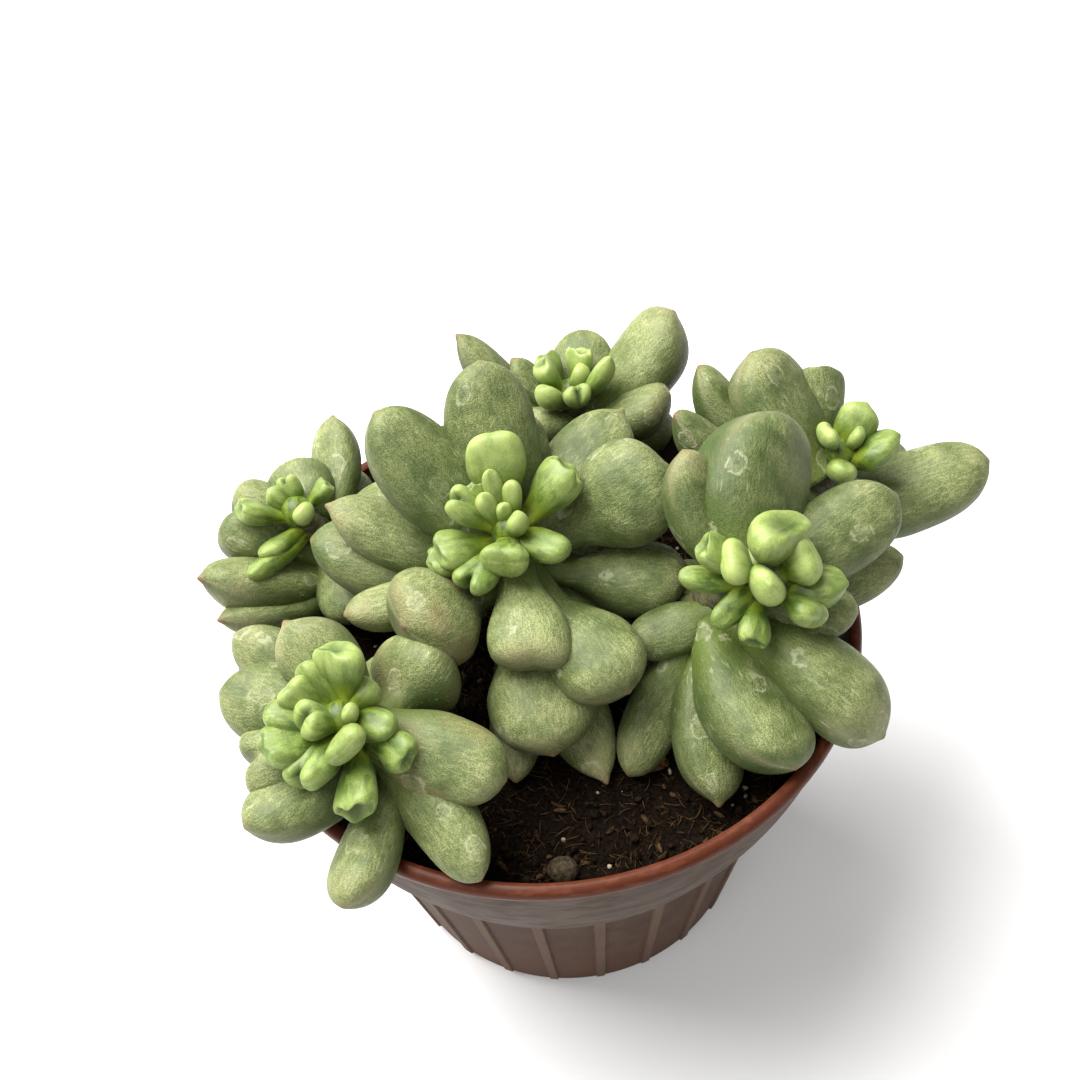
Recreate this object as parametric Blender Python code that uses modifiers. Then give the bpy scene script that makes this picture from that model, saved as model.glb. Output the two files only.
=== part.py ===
"""A potted succulent: six rosettes of thick, pointed leaves on short stems, in a ribbed pot 120 mm across.

Metres, +Z up. The origin is the centre of the pot's flat base, and the side that faces -Y is the front.
Each rosette is two nodes, because they differ in colour: its old grey-green leaves on their stem, and
the bright young leaves at its heart. Their tables give turns and rises in degrees and sizes in millimetres.
"""

import math
import random
from dataclasses import dataclass

import bmesh
import bpy
import numpy as np
from mathutils import Matrix, Vector

MM = 0.001
GAP = 0.3 * MM
CLEAR = 0.4 * MM

# Pot
RIM_RADIUS = 60.0 * MM
RIM_TOP = 78.0 * MM
RIM_ROLL = 2.5 * MM
RIM_INNER = 2.6 * MM
GROUND_LOW = 60.0 * MM
COLLAR_LOW = 44.0 * MM
COLLAR_RADIUS = 48.5 * MM
BODY_TOP = 42.0 * MM
BODY_RADIUS = 46.5 * MM
BASE_RADIUS = 37.5 * MM
WALL = 1.4 * MM
FLOOR = 2.0 * MM
INSIDE_BREAKS = (FLOOR, BODY_TOP - 1.0 * MM, COLLAR_LOW + 6.0 * MM, 62.0 * MM, RIM_TOP - RIM_ROLL)
POT_STEPS = 36
RIB_COUNT = 24
RIB_WIDTH = 2.0 * MM
RIB_PROUD = 0.9 * MM
RIB_SINK = 0.7 * MM
RIB_FOOT = 1.5 * MM
RIB_HEAD = 40.0 * MM
RIB_FIRST = math.radians(-85.5)
DRAIN_COUNT = 6
DRAIN_RADIUS = 3.5 * MM
DRAIN_RING = 24.0 * MM

# Soil
SOIL_EDGE = 66.5 * MM
SOIL_MOUND = 2.5 * MM
SOIL_ROUGH = 0.9 * MM
SOIL_GAP = 0.6 * MM
SOIL_RINGS = 6
SOIL_STEPS = 24

# Stems
STEM_RADIUS = 3.0 * MM
STEM_DEPTH = 12.0 * MM
STEM_POINTS = 9
CORE_RADIUS = 3.2 * MM
NECK_OUT = 1.2 * MM
HOLE_RADIUS = 3.5 * MM
HOLE_RISE = 8.0 * MM

# Leaves
OLD_SIDES = 8
OLD_RINGS = 6
YOUNG_SIDES = 6
YOUNG_RINGS = 5
RELAX_ROUNDS = 60
PULL_BACK = 0.25
SAME_NODE_ROOM = 0.6
SAMPLES = (0.3, 0.55, 0.8)
SAMPLE_REACH = 0.17
TIGHT = 0.08
FIRM = 0.3
SOFT = 1.0
UPPER_FACE = 0.88
LOWER_FACE = 1.12
TIP_LIFT = 0.12
LEAST_ROOM = 8.0
BACK_WIDTH = 0.58
BACK_SPREAD = 40.0


@dataclass(frozen=True)
class Form:
    """How a leaf's outline runs from its neck to its tip, as shares of its length, width and thickness."""

    neck: float
    widest: float
    thick: float
    point: float = 0.0
    dimple: float = 0.0
    lobes: float = 0.0
    lean: float = 0.0
    shoulder: float = 0.0


FORMS = {
    "egg": Form(neck=0.46, widest=0.62, thick=0.80, point=0.02),
    "oval": Form(neck=0.60, widest=0.52, thick=0.80, point=0.015),
    "ball": Form(neck=0.38, widest=0.69, thick=0.82, point=0.02, shoulder=0.42),
    "keel": Form(neck=0.46, widest=0.58, thick=0.74, point=0.05),
    "spoon": Form(neck=0.36, widest=0.70, thick=0.60, lobes=0.05, shoulder=0.20),
    "club": Form(neck=0.50, widest=0.66, thick=0.86, point=0.01, shoulder=0.10),
    "kidney": Form(neck=0.50, widest=0.74, thick=0.78, lobes=0.08, lean=0.15, shoulder=0.30),
    "bud": Form(neck=0.60, widest=0.60, thick=0.86),
    "bean": Form(neck=0.70, widest=0.50, thick=0.84, lean=0.06),
    "cup": Form(neck=0.46, widest=0.76, thick=0.72, dimple=0.08, shoulder=0.15),
    "trumpet": Form(neck=0.42, widest=0.82, thick=0.76, dimple=0.14, shoulder=0.20),
    "pair": Form(neck=0.52, widest=0.70, thick=0.76, lobes=0.16, shoulder=0.10),
}


@dataclass(frozen=True)
class Leaf:
    """A leaf: the way it points, its length and width, and how far down the stem it starts."""

    turn: float
    rise: float
    length: float
    width: float
    down: float
    form: str = "egg"
    roll: float = 0.0
    curl: float = 18.0
    give: float = FIRM


@dataclass(frozen=True)
class Rosette:
    """A rosette: its heart's place, the way its axis leans, where its stem enters the soil, its leaves."""

    name: str
    heart: tuple
    lean: float
    toward: float
    foot: tuple
    old: tuple
    young: tuple
    back: int = 3


ROSETTES = (
    Rosette(
        name="centre",
        heart=(-5.0, -1.0, 104.0),
        lean=8.0,
        toward=-90.0,
        foot=(-3.0, 6.0),
        back=3,
        old=(
            Leaf(146, 44, 34, 17, 6, "oval", curl=26, give=TIGHT),
            Leaf(102, 46, 35, 18, 8, "oval", curl=24),
            Leaf(76, 32, 27, 10, 10, "egg"),
            Leaf(48, 11, 34, 17, 8, "keel", give=TIGHT),
            Leaf(13, 22, 32, 20, 9, "ball", roll=24, curl=26, give=TIGHT),
            Leaf(-10, -12, 31, 15, 11, "ball", give=TIGHT),
            Leaf(-58, -14, 33, 17.5, 8, "ball"),
            Leaf(-85, -16, 24, 15, 4, "kidney"),
            Leaf(-139, 9, 26, 19.5, 12, "ball", roll=-10, give=TIGHT),
            Leaf(162, 16, 34, 13.5, 12, "keel", curl=24),
            Leaf(164, 8, 38, 16.5, 17, "oval"),
            Leaf(-162, 4, 31, 10, 12, "egg"),
            Leaf(-84, -26, 35, 19.5, 11, "ball"),
            Leaf(-70, -32, 39, 13, 16, "keel"),
            Leaf(-96, -38, 36, 10, 17, "egg"),
            Leaf(-32, -30, 36, 12, 13, "oval"),
        ),
        young=(
            Leaf(97, 58, 18, 11, 0, "spoon", curl=26, give=TIGHT),
            Leaf(28, 36, 16, 9.5, 1, "trumpet"),
            Leaf(70, 76, 10, 3.8, 0, "bud"),
            Leaf(112, 64, 12, 4, 0, "bud"),
            Leaf(140, 66, 9, 4.2, 0, "bud"),
            Leaf(88, 84, 6.5, 3.2, 0, "bud"),
            Leaf(-50, 66, 7, 4.4, 0, "bean"),
            Leaf(158, 34, 12.5, 6.5, 0, "pair"),
            Leaf(140, 44, 13, 5, 3, "cup"),
            Leaf(180, 14, 13.5, 8, 2, "cup"),
            Leaf(-98, 16, 9, 8.5, 0, "kidney"),
            Leaf(-132, -4, 13, 7.5, 2, "pair"),
            Leaf(-36, 10, 11.5, 6.5, 1, "bean"),
            Leaf(-160, -4, 15, 6.5, 4, "cup"),
        ),
    ),
    Rosette(
        name="front_left",
        heart=(-36.0, -33.0, 97.0),
        lean=34.0,
        toward=-160.0,
        foot=(-22.0, -14.0),
        back=1,
        old=(
            Leaf(60, 6, 18, 19, 8, "ball", roll=-10, give=TIGHT),
            Leaf(-36, -8, 25, 15.5, 6, "oval"),
            Leaf(-56, -20, 30, 12.5, 9, "oval"),
            Leaf(-108, -22, 30, 11.5, 14, "club"),
            Leaf(-168, 8, 22, 14, 6, "pair"),
            Leaf(-150, 2, 27, 14, 10, "oval"),
            Leaf(168, 14, 27, 15.5, 8, "oval"),
            Leaf(131, 34, 22, 14, 7, "keel", give=TIGHT),
            Leaf(142, 12, 33, 12, 12, "egg"),
        ),
        young=(
            Leaf(102, 46, 13, 9.5, 1, "cup"),
            Leaf(146, 42, 12, 5.5, 1, "bud"),
            Leaf(156, 34, 11, 6.5, 0, "kidney"),
            Leaf(178, 14, 13.5, 7, 1, "bean"),
            Leaf(44, 30, 7, 6, 0, "bud"),
            Leaf(-158, 40, 8.5, 7.5, 0, "pair"),
            Leaf(-88, 26, 9.5, 8, 0, "spoon"),
            Leaf(-30, 16, 9, 6, 1, "bean"),
            Leaf(-166, 2, 16.5, 8.5, 3, "cup"),
            Leaf(-134, 2, 14.5, 8.5, 2, "pair"),
            Leaf(-92, -6, 16, 8.5, 3, "trumpet"),
            Leaf(-40, 0, 13, 6.5, 3, "cup"),
            Leaf(-60, 64, 5.5, 3.5, 0, "bud"),
        ),
    ),
    Rosette(
        name="right",
        heart=(40.0, -16.0, 101.0),
        lean=36.0,
        toward=-20.0,
        foot=(22.0, -4.0),
        back=2,
        old=(
            Leaf(70, 46, 32, 25, 6, "oval", roll=24, give=TIGHT),
            Leaf(24, 13, 32, 15.5, 8, "egg", give=TIGHT),
            Leaf(17, -7, 34, 12, 12, "egg", give=TIGHT),
            Leaf(-12, -9, 19, 10.5, 8, "egg"),
            Leaf(-74, -14, 31, 19, 18, "oval", give=TIGHT),
            Leaf(-46, -26, 34, 17, 14, "egg", curl=-50),
            Leaf(-94, -30, 31, 14.5, 20, "keel"),
            Leaf(-130, -36, 30, 11.5, 20, "oval"),
            Leaf(178, -14, 17, 10, 15, "oval"),
            Leaf(102, 42, 27, 12, 8, "egg", curl=30),
            Leaf(88, 36, 26, 11, 8, "keel", curl=26),
        ),
        young=(
            Leaf(75, 52, 12, 13, 1, "cup", give=TIGHT),
            Leaf(165, 52, 10, 8.5, 0, "spoon"),
            Leaf(-5, 52, 9.5, 10, 0, "spoon", give=TIGHT),
            Leaf(-105, 40, 8, 7.5, 0, "keel"),
            Leaf(-48, -4, 11, 7, 1, "kidney", roll=-20),
            Leaf(110, 64, 6, 4.5, 0, "bud"),
            Leaf(146, 36, 13.5, 7, 2, "cup"),
            Leaf(-150, -14, 11.5, 5.5, 2, "bean"),
            Leaf(-14, 4, 13, 9, 2, "keel"),
            Leaf(-106, -8, 11.5, 6, 3, "cup"),
            Leaf(174, 12, 14, 5, 3, "bud"),
        ),
    ),
    Rosette(
        name="back",
        heart=(10.0, 42.0, 95.5),
        lean=14.0,
        toward=90.0,
        foot=(6.0, 32.0),
        back=4,
        old=(
            Leaf(82, 32, 18, 14, 4, "oval"),
            Leaf(26, 30, 29, 17.5, 6, "egg", curl=30),
            Leaf(-10, 20, 20, 13, 6, "egg"),
            Leaf(-150, 26, 11, 10, 5, "oval"),
            Leaf(140, 36, 16, 8, 5, "keel"),
            Leaf(150, 36, 29, 10.5, 8, "keel", curl=26),
        ),
        young=(
            Leaf(60, 60, 10, 6.5, 0, "trumpet"),
            Leaf(150, 56, 10, 6.5, 0, "cup"),
            Leaf(-80, 50, 10, 6, 0, "pair"),
            Leaf(-8, 54, 13, 6, 1, "keel"),
            Leaf(-140, 44, 11, 5.5, 1, "bud"),
            Leaf(30, 72, 8, 4.5, 0, "bud"),
            Leaf(110, 40, 12, 6.5, 2, "cup"),
        ),
    ),
    Rosette(
        name="left",
        heart=(-46.0, 21.5, 91.5),
        lean=26.0,
        toward=170.0,
        foot=(-31.0, 16.0),
        back=3,
        old=(
            Leaf(106, 12, 15, 14.5, 5, "oval"),
            Leaf(82, 18, 25, 11.5, 8, "keel", curl=26, give=TIGHT),
            Leaf(168, 30, 23, 17.5, 12, "pair", give=TIGHT),
            Leaf(-157, 16, 31, 15, 18, "keel", give=TIGHT),
            Leaf(-150, 13, 31, 11, 21, "keel"),
            Leaf(-72, 0, 18, 13.5, 11, "oval"),
            Leaf(10, 18, 18, 13, 8, "egg"),
        ),
        young=(
            Leaf(150, 40, 7, 5, 0, "keel"),
            Leaf(30, 30, 7.5, 5, 0, "cup"),
            Leaf(-70, 50, 6, 4.5, 0, "bud"),
            Leaf(180, 20, 13, 6.5, 1, "cup"),
            Leaf(-152, -10, 17, 5, 4, "bean"),
            Leaf(-140, -4, 12, 5, 3, "bean"),
            Leaf(120, 50, 8.5, 5, 1, "pair"),
        ),
    ),
    Rosette(
        name="back_right",
        heart=(60.5, 21.0, 91.0),
        lean=26.0,
        toward=30.0,
        foot=(40.0, 18.0),
        back=4,
        old=(
            Leaf(127, 42, 28, 19.5, 5, "oval", roll=-20, give=TIGHT),
            Leaf(141, 38, 34, 12.5, 9, "oval", curl=34, give=TIGHT),
            Leaf(98, 38, 21, 11.5, 3, "cup"),
            Leaf(8, 9, 36, 17.5, 15, "oval", roll=24, give=TIGHT),
            Leaf(164, 37, 35, 12, 9, "oval", curl=36),
        ),
        young=(
            Leaf(60, 44, 11, 8.5, 0, "keel"),
            Leaf(150, 50, 8, 6, 0, "spoon"),
            Leaf(-4, 26, 12, 9, 1, "keel"),
            Leaf(-90, 30, 8, 5.5, 1, "bean"),
            Leaf(20, 56, 7.5, 5, 0, "spoon"),
            Leaf(-52, 4, 10, 5, 3, "trumpet"),
        ),
    ),
)

# Loose things on the soil: place, half sizes and turn
PEBBLE_PLACE = (-2.0 * MM, -50.0 * MM)
PEBBLE_HALF = (3.0 * MM, 2.6 * MM, 2.4 * MM)
DRY_LEAF_PLACE = (15.0 * MM, -30.0 * MM)
DRY_LEAF_HALF = (4.6 * MM, 2.2 * MM, 0.8 * MM)
SEATED = 0.55
LOOSE_THINGS = ((PEBBLE_PLACE, PEBBLE_HALF), (DRY_LEAF_PLACE, DRY_LEAF_HALF))


def clear_scene():
    """Remove every object that the scene starts with."""
    for obj in list(bpy.data.objects):
        bpy.data.objects.remove(obj, do_unlink=True)


def new_collection(name):
    """A collection linked to the scene."""
    made = bpy.data.collections.new(name)
    bpy.context.scene.collection.children.link(made)
    return made


def new_material(name, colour, roughness):
    """A Principled material of one plain colour."""
    made = bpy.data.materials.new(name)
    made.use_nodes = True
    shader = made.node_tree.nodes["Principled BSDF"]
    shader.inputs["Base Color"].default_value = (*colour, 1.0)
    shader.inputs["Roughness"].default_value = roughness
    shader.inputs["Metallic"].default_value = 0.0
    return made


def add_object(name, mesh, collection, material=None):
    """An object for a mesh, smooth shaded, in a collection."""
    obj = bpy.data.objects.new(name, mesh)
    collection.objects.link(obj)
    if material:
        mesh.materials.clear()
        mesh.materials.append(material)
    mesh.shade_smooth()
    mesh.set_sharp_from_angle(angle=math.radians(50.0))
    return obj


def mesh_of(bm, name):
    """The mesh of a bmesh, which is freed."""
    mesh = bpy.data.meshes.new(name)
    bm.to_mesh(mesh)
    bm.free()
    return mesh


def settled(obj):
    """Replace the object's mesh by its evaluated mesh, so that it has no modifiers left."""
    bpy.context.view_layer.update()
    graph = bpy.context.evaluated_depsgraph_get()
    mesh = bpy.data.meshes.new_from_object(obj.evaluated_get(graph))
    obj.modifiers.clear()
    obj.data = mesh
    return obj


def boolean(obj, tools, operation):
    """Join to or cut from the object everything in the tools collection, then remove the tools."""
    if tools.objects:
        modifier = obj.modifiers.new(operation.title(), "BOOLEAN")
        modifier.operation = operation
        modifier.operand_type = "COLLECTION"
        modifier.collection = tools
        modifier.solver = "MANIFOLD"
        settled(obj)
    for tool in list(tools.objects):
        bpy.data.objects.remove(tool, do_unlink=True)
    return obj


def islands(bm):
    """The bmesh's connected groups of faces."""
    left = set(bm.faces)
    while left:
        group = {left.pop()}
        edge = list(group)
        while edge:
            face = edge.pop()
            near = {other for side in face.edges for other in side.link_faces}
            fresh = near & left
            left -= fresh
            group |= fresh
            edge.extend(fresh)
        yield group


def signed_volume(faces):
    """Six times the volume that a closed group of faces holds, negative for the wall of a hollow."""
    total = 0.0
    for face in faces:
        first, *rest = (vert.co for vert in face.verts)
        total += sum(first.dot(a.cross(b)) for a, b in zip(rest, rest[1:]))
    return total


def keep_one_body(obj):
    """Drop loose scraps and fill sealed hollows, so that only the largest outer surface stays."""
    bm = bmesh.new()
    bm.from_mesh(obj.data)
    groups = sorted(islands(bm), key=signed_volume)
    scraps = [face for group in groups[:-1] for face in group]
    bmesh.ops.delete(bm, geom=scraps, context="FACES")
    loose = [vert for vert in bm.verts if not vert.link_faces]
    bmesh.ops.delete(bm, geom=loose, context="VERTS")
    bm.to_mesh(obj.data)
    bm.free()
    return obj


def turned(name, profile, steps, collection, material=None):
    """A closed shape turned about Z from a profile of (radius, height) points, top outside to bottom."""
    mesh = bpy.data.meshes.new(name)
    points = [(radius, 0.0, height) for radius, height in profile]
    mesh.from_pydata(points, [(i, i + 1) for i in range(len(points) - 1)], [])
    obj = bpy.data.objects.new(name, mesh)
    collection.objects.link(obj)
    screw = obj.modifiers.new("Turn", "SCREW")
    screw.steps = steps
    screw.render_steps = steps
    screw.use_merge_vertices = True
    screw.merge_threshold = 0.00001
    settled(obj)
    if material:
        obj.data.materials.append(material)
    obj.data.shade_smooth()
    obj.data.set_sharp_from_angle(angle=math.radians(35.0))
    return obj


def outer_radius(height):
    """The radius of the pot's outside at a height: a tapered body, then a collar that swells outwards."""
    if height <= BODY_TOP:
        return BASE_RADIUS + (BODY_RADIUS - BASE_RADIUS) * height / BODY_TOP
    share = (height - COLLAR_LOW) / (RIM_TOP - RIM_ROLL - COLLAR_LOW)
    share = min(max(share, 0.0), 1.0)
    swell = math.sin(math.pi * share) * 1.4 * MM
    return COLLAR_RADIUS + (RIM_RADIUS - 1.0 * MM - COLLAR_RADIUS) * share + swell


def inner_radius(height):
    """The radius of the pot's inside at a height: straight between the wall's breaks."""
    radii = [outer_radius(level) - WALL for level in INSIDE_BREAKS]
    return float(np.interp(height, INSIDE_BREAKS, radii))


def make_pot(collection, tools, material):
    """The thin plastic pot: rolled rim, swelling collar, tapered ribbed body and a drained floor."""
    under_rim = RIM_TOP - RIM_ROLL
    collar = [COLLAR_LOW + share * (under_rim - COLLAR_LOW) for share in (1.0, 0.7, 0.35, 0.0)]
    profile = [(0.0, FLOOR)]
    profile += [(inner_radius(height), height) for height in INSIDE_BREAKS]
    profile += [
        (RIM_RADIUS - RIM_INNER, RIM_TOP - 0.5 * MM),
        (RIM_RADIUS - 1.4 * MM, RIM_TOP),
        (RIM_RADIUS - 0.3 * MM, RIM_TOP - 0.7 * MM),
        (RIM_RADIUS, RIM_TOP - 1.6 * MM),
        (RIM_RADIUS - 0.2 * MM, under_rim),
    ]
    profile += [(outer_radius(height), height) for height in collar]
    profile += [(BODY_RADIUS, BODY_TOP), (BASE_RADIUS + 0.3 * MM, 1.0 * MM), (BASE_RADIUS - 0.6 * MM, 0.0)]
    profile += [(0.0, 0.0)]
    pot = turned("pot", profile, POT_STEPS, collection, material)
    for index in range(RIB_COUNT):
        add_object(f"rib_{index}", rib_mesh(index), tools)
    boolean(pot, tools, "UNION")
    for index in range(DRAIN_COUNT):
        turn = math.tau * index / DRAIN_COUNT
        place = Matrix.Translation((DRAIN_RING * math.cos(turn), DRAIN_RING * math.sin(turn), FLOOR / 2))
        bm = bmesh.new()
        bmesh.ops.create_cone(
            bm,
            cap_ends=True,
            segments=10,
            radius1=DRAIN_RADIUS,
            radius2=DRAIN_RADIUS,
            depth=FLOOR * 3,
            matrix=place,
        )
        add_object(f"drain_{index}", mesh_of(bm, "drain"), tools)
    boolean(pot, tools, "DIFFERENCE")
    return keep_one_body(pot)


def rib_mesh(index):
    """One raised rib: a cube stretched up the taper of the pot's body."""
    bm = bmesh.new()
    bmesh.ops.create_cube(bm, size=1.0)
    turn = Matrix.Rotation(RIB_FIRST + math.tau * index / RIB_COUNT, 4, "Z")
    for vert in bm.verts:
        height = RIB_HEAD if vert.co.z > 0 else RIB_FOOT
        out = RIB_PROUD if vert.co.x > 0 else -RIB_SINK
        vert.co = turn @ Vector((outer_radius(height) + out, vert.co.y * RIB_WIDTH, height))
    return mesh_of(bm, "rib")


def soil_height(x, y):
    """The height of the soil's rough, slightly mounded surface."""
    away = math.hypot(x, y) / RIM_RADIUS
    rough = math.sin(x / (5.1 * MM) + 0.6) * math.cos(y / (6.3 * MM) - 0.4)
    rough += 0.6 * math.sin((x + y) / (3.4 * MM) + 2.0)
    return SOIL_EDGE + SOIL_MOUND * (1.0 - away**2) + SOIL_ROUGH * rough * (1.0 - away**4)


def soil_radius(height):
    """The soil's radius at a height, a gap inside the pot's wall."""
    return inner_radius(height) - SOIL_GAP


def make_soil(collection, tools, material, cutters):
    """The soil that fills the pot, with a rough top and a plain hole for each stem."""
    edge = soil_radius(SOIL_EDGE)
    profile = [(edge * ring / SOIL_RINGS, SOIL_EDGE) for ring in range(SOIL_RINGS + 1)]
    profile += [(soil_radius(height), height) for height in reversed(INSIDE_BREAKS[1:-1])]
    profile += [(soil_radius(FLOOR), FLOOR + GAP), (0.0, FLOOR + GAP)]
    soil = turned("soil", profile, SOIL_STEPS, collection, material)
    roughen(soil, edge, SOIL_EDGE)
    for index, mesh in enumerate(cutters):
        add_object(f"hole_{index}", mesh, tools)
    boolean(soil, tools, "DIFFERENCE")
    return keep_one_body(soil)


def roughen(obj, edge, level):
    """Raise the flat top of a turned soil shape to the soil's rough, mounded surface."""
    for vert in obj.data.vertices:
        if abs(vert.co.z - level) < 0.01 * MM and vert.co.xy.length < edge - 0.1 * MM:
            vert.co.z = soil_height(vert.co.x, vert.co.y) + level - SOIL_EDGE


def make_ground(collection):
    """The room that the pot and its soil take up, which leaves are trimmed clear of."""
    edge = soil_radius(SOIL_EDGE)
    level = SOIL_EDGE + CLEAR
    profile = [(edge * ring / SOIL_RINGS, level) for ring in range(SOIL_RINGS + 1)]
    profile += [
        (RIM_RADIUS - RIM_INNER - CLEAR, RIM_TOP + CLEAR),
        (RIM_RADIUS + CLEAR, RIM_TOP + CLEAR),
        (RIM_RADIUS + CLEAR, RIM_TOP - RIM_ROLL - CLEAR),
        (outer_radius(GROUND_LOW) + CLEAR, GROUND_LOW),
        (0.0, GROUND_LOW),
    ]
    roughen(turned("ground", profile, SOIL_STEPS, collection), edge, level)


def hole_mesh(rosette):
    """The cylinder that leaves a plain hole in the soil for a rosette's stem."""
    x, y = (value * MM for value in rosette.foot)
    top = soil_height(x, y) + HOLE_RISE
    low = SOIL_EDGE - STEM_DEPTH - GAP
    bm = bmesh.new()
    bmesh.ops.create_cone(
        bm,
        cap_ends=True,
        segments=12,
        radius1=HOLE_RADIUS,
        radius2=HOLE_RADIUS,
        depth=top - low,
        matrix=Matrix.Translation((x, y, (top + low) / 2)),
    )
    return mesh_of(bm, "hole")


def lump_mesh(place, half, grow=0.0):
    """A rounded lump lying on the soil, such as a pebble or a fallen leaf."""
    bm = bmesh.new()
    bmesh.ops.create_uvsphere(bm, u_segments=10, v_segments=6, radius=1.0)
    high = soil_height(*place) + half[2] * SEATED
    for vert in bm.verts:
        spread = Vector(vert.co[axis] * (half[axis] + grow) for axis in range(3))
        vert.co = spread + Vector((*place, high))
    return mesh_of(bm, "lump")


def direction(turn, rise):
    """The unit vector that points a compass turn and a rise above level, both in degrees."""
    turn = math.radians(turn)
    rise = math.radians(rise)
    return np.array((math.cos(rise) * math.cos(turn), math.cos(rise) * math.sin(turn), math.sin(rise)))


def unit(vectors):
    """Vectors scaled to length 1."""
    return vectors / np.linalg.norm(vectors, axis=-1, keepdims=True)


def outline(form, along):
    """A leaf's half width, as a share of its widest, at each share of its length."""
    swell = np.clip((along / form.widest - form.shoulder) / (1.0 - form.shoulder), 0, 1)
    rise = form.neck + (1.0 - form.neck) * np.sin(0.5 * np.pi * swell) ** 2
    end = np.clip((along - form.widest) / (1.0 - form.widest), 0, 1)
    return np.where(along < form.widest, rise, np.sqrt(1.0 - 0.97 * end**2.6))


def axis_of(rosette):
    """The unit vector that a rosette's heart faces."""
    return direction(rosette.toward, 90.0 - rosette.lean)


class Growth:
    """All the leaves of the plant, as arrays, so that they can lean clear of each other."""

    def __init__(self, leaves, rosettes, nodes):
        self.leaves = leaves
        self.forms = [FORMS[leaf.form] for leaf in leaves]
        self.node = np.array(nodes)
        self.way = np.array([direction(leaf.turn, leaf.rise) for leaf in leaves])
        self.axis = np.array([axis_of(rosette) for rosette in rosettes])
        self.length = np.array([leaf.length for leaf in leaves]) * MM
        self.width = np.array([leaf.width for leaf in leaves]) * MM
        self.thick = self.width * np.array([form.thick for form in self.forms])
        self.give = np.array([leaf.give for leaf in leaves])
        self.bend = np.radians([leaf.curl for leaf in leaves])
        self.roll = np.radians([leaf.roll for leaf in leaves])
        hearts = np.array([rosette.heart for rosette in rosettes]) * MM
        down = np.array([leaf.down for leaf in leaves]) * MM
        out = self.way - self.axis * (self.way * self.axis).sum(1, keepdims=True)
        self.base = hearts - self.axis * down[:, None] + out * NECK_OUT

    def frames(self):
        """Each leaf's side and upward unit vectors, square to the way it points."""
        face = unit(self.axis - self.way * (self.axis * self.way).sum(1, keepdims=True))
        side = np.cross(face, self.way)
        turn = self.roll[:, None]
        return side * np.cos(turn) + face * np.sin(turn), face * np.cos(turn) - side * np.sin(turn)

    def middle(self, along, face):
        """Points on the midline of each leaf, at one share of its length, with its bend."""
        sag = 0.5 * self.bend * self.length * along * (1.0 - along)
        return self.base + self.way * (self.length * along)[:, None] - face * sag[:, None]

    def lean_clear(self, stems):
        """Turn leaves about their bases until they hardly touch other nodes' leaves, the soil and the rim."""
        share = np.array([[outline(form, np.array(along)) for along in SAMPLES] for form in self.forms])
        count = len(self.leaves)
        owner = np.tile(np.arange(count), len(SAMPLES))
        reach = np.concatenate([self.length * SAMPLE_REACH for _ in SAMPLES])
        wide = np.concatenate([self.width * share[:, k] / 2 for k in range(len(SAMPLES))])
        deep = np.concatenate([self.thick * share[:, k] / 2 for k in range(len(SAMPLES))])
        lever = np.concatenate([self.length * along for along in SAMPLES])
        same = self.node[owner][:, None] == self.node[owner][None, :]
        own = owner[:, None] == owner[None, :]
        allowed = np.where(same, SAME_NODE_ROOM, 1.0)
        wanted = self.way.copy()
        room = np.where(same, 0.0, GAP)
        for _ in range(RELAX_ROUNDS):
            side, face = self.frames()
            centre = np.concatenate([self.middle(along, face) for along in SAMPLES])
            axes = (
                self.way[owner] * reach[:, None],
                side[owner] * wide[:, None],
                face[owner] * deep[:, None],
            )
            apart = centre[:, None] - centre[None, :]
            distance = np.linalg.norm(apart, axis=2) + 1e-9
            toward = apart / distance[..., None]
            size = np.sqrt(sum(np.einsum("ijk,ik->ij", toward, axis) ** 2 for axis in axes))
            crowd = allowed * (size + size.T) + room - distance
            crowd = np.where(own, 0.0, np.clip(crowd, 0.0, 3.0 * MM))
            give = self.give[owner]
            part = give[:, None] / (give[:, None] + give[None, :])
            push = (toward * (crowd * part)[..., None]).sum(1)
            push += self.push_from_pot(centre, axes)
            push += self.push_from_stems(centre, axes, stems, owner)
            moved = np.zeros_like(self.way)
            np.add.at(moved, owner, 0.5 * push / lever[:, None])
            moved = np.clip(moved, -0.12, 0.12) + PULL_BACK * (wanted - self.way)
            self.way = unit(self.way + moved - self.way * (moved * self.way).sum(1, keepdims=True))

    def push_from_pot(self, centre, axes):
        """How far each sample must move to clear the soil, the pot's wall and its rim."""
        push = np.zeros_like(centre)
        tall = np.sqrt(sum(axis[:, 2] ** 2 for axis in axes))
        away = np.linalg.norm(centre[:, :2], axis=1)
        sunk = SOIL_EDGE + SOIL_MOUND + 1.0 * MM + tall - centre[:, 2]
        push[:, 2] += np.where(away < RIM_RADIUS - 2.0 * MM, np.clip(sunk, 0.0, 3.0 * MM), 0.0)
        out = centre[:, :2] / away[:, None]
        rim = np.column_stack([out * (RIM_RADIUS - 1.5 * MM), np.full(len(centre), RIM_TOP - 1.5 * MM)])
        apart = centre - rim
        distance = np.linalg.norm(apart, axis=1) + 1e-9
        toward = apart / distance[:, None]
        size = np.sqrt(sum((toward * axis).sum(1) ** 2 for axis in axes))
        crowd = np.clip(size + 2.0 * MM - distance, 0.0, 3.0 * MM)
        upward = toward + np.array((0.0, 0.0, 0.8))
        return push + unit(upward) * crowd[:, None]

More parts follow.
